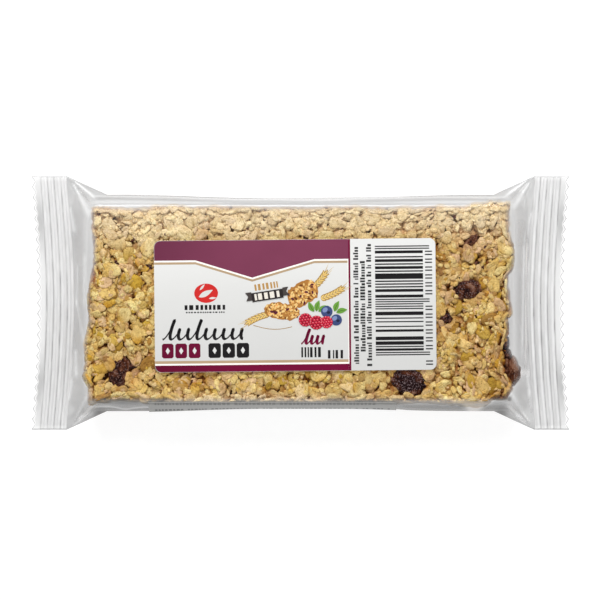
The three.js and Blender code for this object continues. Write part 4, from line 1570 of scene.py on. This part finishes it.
# Places on the front sticker, from its middle.
LEFT = -STICKER_LENGTH / 2
BOTTOM, TOP = -STICKER_WIDTH / 2, STICKER_WIDTH / 2
MARGIN = 0.06
PANEL_EDGE = 15.3
BAND_EDGE = 13.12
FOOT_EDGE = BOTTOM + 1.95
WHITE_LINE = 0.5
TAN_LINE = 0.64
NOTCH_LEFT, NOTCH_TIP, NOTCH_RIGHT = -28.4, -12.2, 5.6
NOTCH_DEPTH = 5.1


def band_line(drop):
    """The wide band's lower line, with its shallow V, so far below it."""
    return [
        [LEFT + MARGIN, BAND_EDGE - drop],
        [NOTCH_LEFT, BAND_EDGE - drop],
        [NOTCH_TIP, BAND_EDGE - NOTCH_DEPTH - drop],
        [NOTCH_RIGHT, BAND_EDGE - drop],
        [PANEL_EDGE, BAND_EDGE - drop],
    ]


def print_bands(sticker):
    """The two wide bands with their white and tan lines, and the upright line."""
    corner = sticker.corner / MM
    steps = np.linspace(0, math.pi / 2, 7)
    into = corner * (1 - np.sin(steps))
    along = LEFT + MARGIN + corner * (1 - np.cos(steps))
    left, bottom, top = LEFT + MARGIN, BOTTOM + MARGIN, TOP - MARGIN
    wine = Ink("wine_band", sticker.wine, left_end_shade=True)
    wine.fill((np.column_stack([along, top - into]), np.column_stack([along, 0 * along + BAND_EDGE])))
    lower = [[along[-1], BAND_EDGE], *band_line(0)[1:]]
    wine.fill(([[x, top] for x, _ in lower], lower))
    wine.print()
    deep = Ink("deep_wine_lines", sticker.wine_deep, left_end_shade=True)
    deep.fill(block(PANEL_EDGE, PANEL_EDGE + 0.55, bottom, top))
    deep.fill(block(along[-1], PANEL_EDGE, bottom, FOOT_EDGE))
    foot = bottom + np.minimum(into, 1.7)
    deep.fill((np.column_stack([along, 0 * along + FOOT_EDGE]), np.column_stack([along, foot])))
    deep.print()
    upright = PANEL_EDGE - 0.22
    white_top = FOOT_EDGE + WHITE_LINE
    white = Ink("white_lines", sticker.white, drift=0.0)
    white.fill((band_line(0), band_line(WHITE_LINE)))
    white.fill(block(left, upright, FOOT_EDGE, white_top))
    white.fill(block(upright, PANEL_EDGE, bottom, BAND_EDGE - WHITE_LINE))
    white.print()
    sand = Ink("sand_lines", sticker.sand)
    drops = (WHITE_LINE, WHITE_LINE + TAN_LINE)
    sand.fill([band_line(drop)[:-1] + [[upright, BAND_EDGE - drop]] for drop in drops])
    sand.fill(block(left, upright, white_top, white_top + 1.2 * TAN_LINE))
    sand.print()


def print_words(sticker, rng):
    """Plain blocks, tiles and pen waves where the sticker has words."""
    black = Ink("black_blocks", sticker.black)
    black.fill(*letters(rng, -31.6, -19.6, -1.05, 0.35, 1.3, 0.36))
    black.fill(*letters(rng, -31.2, -20.0, -1.95, -1.55, 0.75, 0.4))
    black.fill(pen_wave(-38.0, -15.0, -9.4, 2.9, 5.6, 9, (0.06, 0.39), 0.92))
    heavy, heavy_windows = tiles(-24.9, -13.3, -14.8, -10.6, 3)
    black.fill(*heavy)
    black.fill(*letters(rng, 1.6, 7.8, -14.9, -12.0, 1.0, 0.44))
    black.fill(*letters(rng, 9.2, 14.2, -15.3, -12.9, 1.15, 0.5))
    black.print()
    deep = Ink("deep_wine_blocks", sticker.wine_deep, left_end_shade=True)
    wine, wine_windows = tiles(-38.2, -27.2, -14.8, -10.6, 3)
    deep.fill(*wine)
    deep.fill(pen_wave(1.6, 8.0, -11.0, 2.3, 4.3, 4, (0.1,), 0.9))
    deep.print()
    windows = Ink("tile_windows", sticker.paper, layer=1)
    windows.fill(*heavy_windows, *wine_windows)
    windows.print()


def print_badge(sticker):
    """A plain round badge with one grain on it."""
    red = Ink("red_badge", sticker.red)
    red.fill(oval(-25.4, 3.7, 3.4, 2.75, steps=25))
    red.print()
    grain = Ink("badge_grain", sticker.paper, layer=1)
    for x, y, length, width, turn in (
        (-27.5, 2.6, 4.5, 1.5, 27),
        (-27.2, 4.6, 2.2, 0.6, 50),
        (-24.6, 2.2, 2.2, 0.6, 5),
    ):
        grain.fill(leaf(x, y, length, width, turn))
    grain.print()


def print_bars(sticker, rng):
    """The small print in three upright lines, and the stacked bars with blocks beside them.

    The bars are random and carry no number. Only the pairs at both ends and in the middle are even,
    and they are longer than the others.
    """
    small = Ink("small_print", sticker.small_grey)
    for base, low, high in ((18.1, -16.9, 17.0), (20.0, -13.4, 13.8), (21.8, -17.6, 18.0)):
        for start, end in small_line(rng, low, high):
            small.fill(block(base - rng.choice([1.0, 1.4]), base, start, end))
    small.print()
    bars = Ink("stacked_bars", sticker.black)
    module, half_modules = 0.33, 42
    even = np.ones(3)
    halves = rng.choice([1, 2, 3, 4], size=(2, 24), p=[0.52, 0.28, 0.14, 0.06])
    halves = halves * half_modules / halves.sum(axis=1, keepdims=True)
    steps = np.concatenate([[0], even, halves[0], even, [1, 1], halves[1], even])
    edges = -14.6 + module * np.cumsum(steps)
    long_pairs = (0, 1, 14, 15, 28, 29)
    for index, (low, high) in enumerate(zip(edges[0::2], edges[1::2])):
        bars.fill(block(22.9, 38.4 if index in long_pairs else 36.6, low, high))
    for low in np.concatenate([[-17.4], -13.0 + 2.25 * np.arange(6), 2.7 + 2.25 * np.arange(6)]):
        bars.fill(block(37.2, 39.2, low, low + 0.36), block(37.2, 39.2, low + 0.9, low + 1.26))
    bars.print()


def ear_places(x, y, turn, count, step):
    """Places along an ear of grain, and its direction in degrees at each, bending a little."""
    turns = turn + np.linspace(-8, 8, count)
    along_x = x + np.cumsum(step * np.cos(np.radians(turns)))
    along_y = y + np.cumsum(step * np.sin(np.radians(turns)))
    return zip(along_x, along_y, turns)


def print_ears(picture):
    """Three ears of grain: long bristles, then two rows of kernels, each dark with a pale face."""
    bristles = Ink("picture_bristles", picture.bristle, layer=1)
    husks = Ink("picture_husks", picture.husk, layer=2)
    kernels = Ink("picture_kernels", picture.kernel, layer=3)
    for x, y, turn, count in ((-6.4, -2.2, 199, 7), (4.2, 4.2, 46, 6), (6.4, 1.6, 22, 7)):
        for at_x, at_y, heading in ear_places(x, y, turn, count, 0.95):
            for side in (-1, 1):
                bristles.fill(leaf(at_x, at_y, 3.9, 0.13, heading + 13 * side))
                husks.fill(leaf(at_x, at_y, 1.75, 0.8, heading + 34 * side))
                kernels.fill(leaf(at_x, at_y, 1.5, 0.46, heading + 32 * side))
        husks.fill(leaf(at_x, at_y, 2.3, 0.7, heading))
        kernels.fill(leaf(at_x, at_y, 2.0, 0.4, heading))
    bend = np.linspace(0, 1, 20)
    stalk = np.column_stack([-12.0 + 11 * bend, -5.6 - 1.2 * np.sin(2.7 * bend)])
    husks.fill(stroke(stalk, 0.17 + 0 * bend))
    for ink in (bristles, husks, kernels):
        ink.print()


def print_chunks(picture, rng):
    """Two pieces of a broken oat bar: rough outlines, strewn with ovals of four colours.

    Towards both ends the ovals keep to the middle, so they stay inside the outline.
    """
    crust = Ink("picture_bar", picture.crust, layer=4, drift=0.2)
    strewn = [
        (Ink("picture_bar_gaps", picture.gap, layer=5), 26),
        (Ink("picture_bar_oats", picture.oat, layer=6, drift=0.15), 55),
        (Ink("picture_bar_flakes", picture.flake, layer=7, drift=0.15), 44),
        (Ink("picture_bar_fruit", picture.dried, layer=8, drift=0.2), 9),
    ]
    for x, y, wide, tall, turn in ((-3.8, -1.7, 10.4, 4.6, -9), (2.2, 3.2, 9.4, 6.4, 32)):
        t = np.linspace(0, 1, 17)
        hump = (1 - (2 * t - 1) ** 6) * tall / 2
        rough = rng.normal(0, 0.15, (2, 17))
        upper = np.column_stack([x + wide * (t - 0.5), y + hump + rough[0] + 0.03])
        lower = np.column_stack([x + wide * (t - 0.5), y - 0.94 * hump + rough[1] - 0.03])
        lower[:, 1] = np.minimum(lower[:, 1], upper[:, 1] - 0.04)
        crust.fill(turned_lines((upper, lower), x, y, turn))
        for ink, count in strewn:
            spots = rng.uniform((-0.45, -0.4, 0.3, 0), (0.45, 0.4, 0.62, 180), (count, 4))
            for dx, dy, half, lean in spots:
                room = tall * (1 - (2 * dx) ** 6)
                spot = oval(x + dx * wide, y + dy * room, half, 0.55 * half, lean, 7)
                ink.fill(turned_lines(spot, x, y, turn))
    for ink in (crust, *[ink for ink, _ in strewn]):
        ink.print()


def print_berries(picture):
    """Leaves, red berries made of small beads, and blue berries with a bloom and a dark calyx."""
    green = Ink("picture_leaves", picture.leaf, layer=9, drift=0.2)
    vein = Ink("picture_leaf_veins", picture.vein, layer=10)
    leaves = ((5.4, -1.9, 118), (6.0, -1.8, 74), (6.6, -1.9, 30), (11.2, -1.9, 66), (11.7, -2.2, 14))
    for x, y, turn in leaves:
        green.fill(leaf(x, y, 3.3, 1.5, turn, 0.2))
        vein.fill(leaf(x, y, 2.7, 0.16, turn, 0.16))
    blue = Ink("picture_blue_fruit", picture.blue, layer=11, drift=0.25)
    bloom = Ink("picture_bloom", picture.bloom, layer=12)
    calyx = Ink("picture_crowns", picture.calyx, layer=13)
    for x, y, radius in ((9.0, -1.9, 1.65), (11.7, -4.3, 1.6)):
        blue.fill(oval(x, y, radius, radius, steps=17))
        bloom.fill(oval(x - 0.3 * radius, y + 0.3 * radius, 0.5 * radius, 0.38 * radius, 40, 11))
        calyx.fill(oval(x + 0.3 * radius, y - 0.15 * radius, 0.3 * radius, 0.24 * radius, 0, 9))
    red = Ink("picture_red_fruit", picture.red, layer=14)
    beads = Ink("picture_beads", picture.bead, layer=15, drift=0.2)
    gleam = Ink("picture_gleams", picture.gleam, layer=16)
    for x, y, radius in ((2.9, -4.2, 1.95), (6.0, -5.0, 2.05), (8.9, -4.9, 1.75)):
        red.fill(oval(x, y, radius, 0.96 * radius, steps=19))
        for ring, count in ((0.0, 1), (0.43, 6), (0.83, 12)):
            for angle in 2 * math.pi * (np.arange(count) + 0.3 * ring) / count:
                at_x = x + ring * radius * math.cos(angle)
                at_y = y + ring * radius * math.sin(angle)
                beads.fill(oval(at_x, at_y, 0.36, 0.34, 0, 9))
                gleam.fill(oval(at_x - 0.1, at_y + 0.12, 0.12, 0.1, 30, 5))
    for ink in (green, vein, blue, bloom, calyx, red, beads, gleam):
        ink.print()


def print_ribbon(picture, rng):
    """A small dark ribbon that rises to the right, with blocks on it and tan blocks above it."""
    dark = Ink("ribbon", picture.ribbon, layer=17)
    ends = Ink("ribbon_ends", picture.ribbon_end, layer=16)
    pale = Ink("ribbon_blocks", picture.ribbon_block, layer=18)
    tan = Ink("tan_blocks", picture.tan)
    x, y, turn = -7.9, 2.9, 8
    dark.fill(turned_lines(block(-12.4, -3.4, 1.6, 4.2), x, y, turn))
    for side in (-1, 1):
        tip, notch, root = x + 6.2 * side, x + 5.5 * side, x + 4.5 * side
        lines = [[[tip, 4.5], [root, 4.5]], [[notch, 3.3], [root, 3.3]], [[tip, 2.1], [root, 2.1]]]
        if side > 0:
            lines = [line[::-1] for line in lines]
        ends.fill(turned_lines(lines[:2], x, y, turn), turned_lines(lines[1:], x, y, turn))
    for lines in letters(rng, -11.6, -4.0, 2.0, 3.8, 1.45, 0.36):
        pale.fill(turned_lines(lines, x, y, turn))
    for lines in letters(rng, -11.2, -4.2, 4.7, 6.5, 0.95, 0.45):
        tan.fill(turned_lines(lines, x, y, turn))
    for ink in (dark, ends, pale, tan):
        ink.print()


class STICKER_OT_print(Operator):
    """Print the front sticker: bands, lines, blocks in place of words, bars and a picture"""

    bl_idname = "granola.print"
    bl_label = "Front print"

    def execute(self, context):
        sticker, picture = context.scene.sticker_settings, context.scene.picture_settings
        rng = new_rng(80)
        print_bands(sticker)
        print_words(sticker, rng)
        print_badge(sticker)
        print_bars(sticker, rng)
        print_ears(picture)
        print_chunks(picture, rng)
        print_berries(picture)
        print_ribbon(picture, rng)
        return {"FINISHED"}


def back_line(away):
    """The back sticker's line in the pack's section, so far outside the film: y, z and web.

    It runs from near the top of the near side, over the side fold and under the bar.
    """
    webs = np.linspace(BACK_TOP_WEB, HALF_WEB, 33)
    y, height = crown_section(webs)
    slope = unit(np.column_stack([np.gradient(y), np.gradient(height)]))
    y, height = y - away * slope[:, 1], height + away * slope[:, 0]
    upper = triples(-y, MIDDLE_Z + height, webs)
    lower = triples(-y, MIDDLE_Z - height, webs)[::-1]
    base = triples(np.linspace(-CROWN_HALF_WIDTH, BACK_HIGH[1], 12), BASE_Z - away, 0)
    return np.concatenate([upper, lower[1:], base])


def along_back(line, x):
    """Points of the back sticker's line at places along the pack, drawn in as the film's side is."""
    y = line[:, 0] + waist(x, line[:, 2])
    return triples(x, y, line[:, 1])


def side_blocks(rng, outside):
    """Rows of tiny blocks, in place of words: two at the side and more under the bar.

    A row is told by where it starts along the sticker's line, how tall it is and its pitch.
    """
    outer, inner = back_line(outside + PRINT_LIFT), back_line(outside - 0.03)
    run = np.concatenate([[0], np.cumsum(np.hypot(*np.diff(outer[:, :2], axis=0).T))])
    rows = [(0.25, 1.15, 1.2), (5.7, 1.6, 1.2)]
    rows += [(start, 1.1, 0.85) for start in np.arange(17.4, run[-1] - 2.4, 2.2)]
    shells = []
    for start, tall, pitch in rows:
        down = np.linspace(start + tall, start, 3)
        lines = [
            np.column_stack([np.interp(down, run, line[:, axis]) for axis in range(3)])
            for line in (outer, inner)
        ]
        for ends in small_line(rng, BACK_LOW[0] + 1.8, BACK_HIGH[0] - 1.8, pitch):
            columns = np.array(ends)[:, None]
            shells.append(closed_sheets(*[along_back(line, columns) for line in lines]))
    return join_shells(shells)


class STICKER_OT_back(Operator):
    """Make the back sticker, which wraps from the near side under the bar"""

    bl_idname = "granola.back_sticker"
    bl_label = "Back sticker"

    def execute(self, context):
        sticker = context.scene.sticker_settings
        outside = BACK_GAP + sticker.thickness / MM
        columns = np.linspace(BACK_LOW[0], BACK_HIGH[0], 60)[:, None]
        sheets = [along_back(back_line(away), columns).swapaxes(0, 1) for away in (outside, BACK_GAP)]
        points, quads = closed_sheets(*sheets)
        paper = paper_material("back_paper_in_shade", sticker.back_paper_in_shade)
        make_piece("back_label", points, [quads], paper, "sticker_paper", "back_sticker")

        points, quads = side_blocks(new_rng(90), outside)
        ink = ink_material("side_print_ink", sticker.side_grey)
        make_piece("side_print", points, [quads], ink, "sticker_ink", "back_sticker", flat=True)
        return {"FINISHED"}


# The stage


def softbox(scene, name, place, wide, watts):
    """A square light that faces the middle of the pack."""
    light = bpy.data.lights.new(name, "AREA")
    light.size = wide
    light.energy = watts
    made = bpy.data.objects.new(name, light)
    made.location = place
    made.rotation_euler = (-Vector(place)).to_track_quat("-Z", "Y").to_euler()
    scene.collection.objects.link(made)


class STAGE_OT_studio(Operator):
    """Make the lit white ground, the lights and the camera, which looks straight down"""

    bl_idname = "granola.stage"
    bl_label = "Stage"

    def execute(self, context):
        scene = context.scene
        reach = 3.0
        corners = [(x * reach, y * reach, 0) for x, y in ((-1, -1), (1, -1), (1, 1), (-1, 1))]
        mesh = bpy.data.meshes.new("floor")
        mesh.from_pydata(corners, [], [(0, 1, 2, 3)])
        mesh.materials.append(floor_material())
        floor = bpy.data.objects.new("floor", mesh)
        scene.collection.objects.link(floor)

        softbox(scene, "key_light", (-0.08, 0.62, 0.6), 0.42, 7.4)
        softbox(scene, "left_light", (-0.75, -0.05, 0.5), 0.5, 2.3)
        softbox(scene, "right_light", (0.75, -0.05, 0.5), 0.5, 2.2)
        softbox(scene, "near_light", (0.1, -0.7, 0.55), 0.5, 1.2)
        world = bpy.data.worlds.new("studio")
        world.use_nodes = True
        background = world.node_tree.nodes["Background"]
        background.inputs["Color"].default_value = (1, 1, 1, 1)
        background.inputs["Strength"].default_value = 0.15
        scene.world = world
        scene.view_settings.view_transform = "Standard"

        camera = bpy.data.cameras.new("camera")
        camera.lens = 250
        camera.sensor_width = 36
        frame_width = 0.1725
        made = bpy.data.objects.new("camera", camera)
        distance = frame_width / camera.sensor_width * camera.lens
        made.location = (-0.00013, 0.00086, MIDDLE_Z * MM + distance)
        scene.collection.objects.link(made)
        scene.camera = made
        return {"FINISHED"}


class GRANOLA_PT_panel(Panel):
    """Lists the steps that build the pack"""

    bl_idname = "GRANOLA_PT_panel"
    bl_label = "Granola Bar"
    bl_space_type = "VIEW_3D"
    bl_region_type = "UI"
    bl_category = "Granola Bar"

    def draw(self, context):
        layout = self.layout
        for group in SETTINGS:
            settings = getattr(context.scene, group)
            for key in settings.bl_rna.properties.keys():
                if key not in ("rna_type", "name"):
                    layout.prop(settings, key)
        for step in STEPS:
            layout.operator(step.bl_idname)


SETTINGS = {
    "bar_settings": BarSettings,
    "film_settings": FilmSettings,
    "sticker_settings": StickerSettings,
    "picture_settings": PictureSettings,
}
STEPS = [
    BAR_OT_core,
    BAR_OT_oats,
    BAR_OT_fruit,
    FILM_OT_wrap,
    FILM_OT_seam,
    STICKER_OT_front,
    STICKER_OT_print,
    STICKER_OT_back,
    STAGE_OT_studio,
]


def register():
    """Registers the settings, the steps and the panel."""
    for name, group in SETTINGS.items():
        bpy.utils.register_class(group)
        setattr(bpy.types.Scene, name, PointerProperty(type=group))
    for step in [*STEPS, GRANOLA_PT_panel]:
        bpy.utils.register_class(step)


def unregister():
    """Takes away all that register added."""
    for step in reversed([*STEPS, GRANOLA_PT_panel]):
        bpy.utils.unregister_class(step)
    for name, group in SETTINGS.items():
        delattr(bpy.types.Scene, name)
        bpy.utils.unregister_class(group)


def main():
    """Registers the add-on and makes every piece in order."""
    register()
    bpy.ops.granola.core()
    bpy.ops.granola.oats()
    bpy.ops.granola.fruit()
    bpy.ops.granola.film()
    bpy.ops.granola.seam()
    bpy.ops.granola.front_sticker()
    bpy.ops.granola.print()
    bpy.ops.granola.back_sticker()
    bpy.ops.granola.stage()


if __name__ == "__main__":
    main()
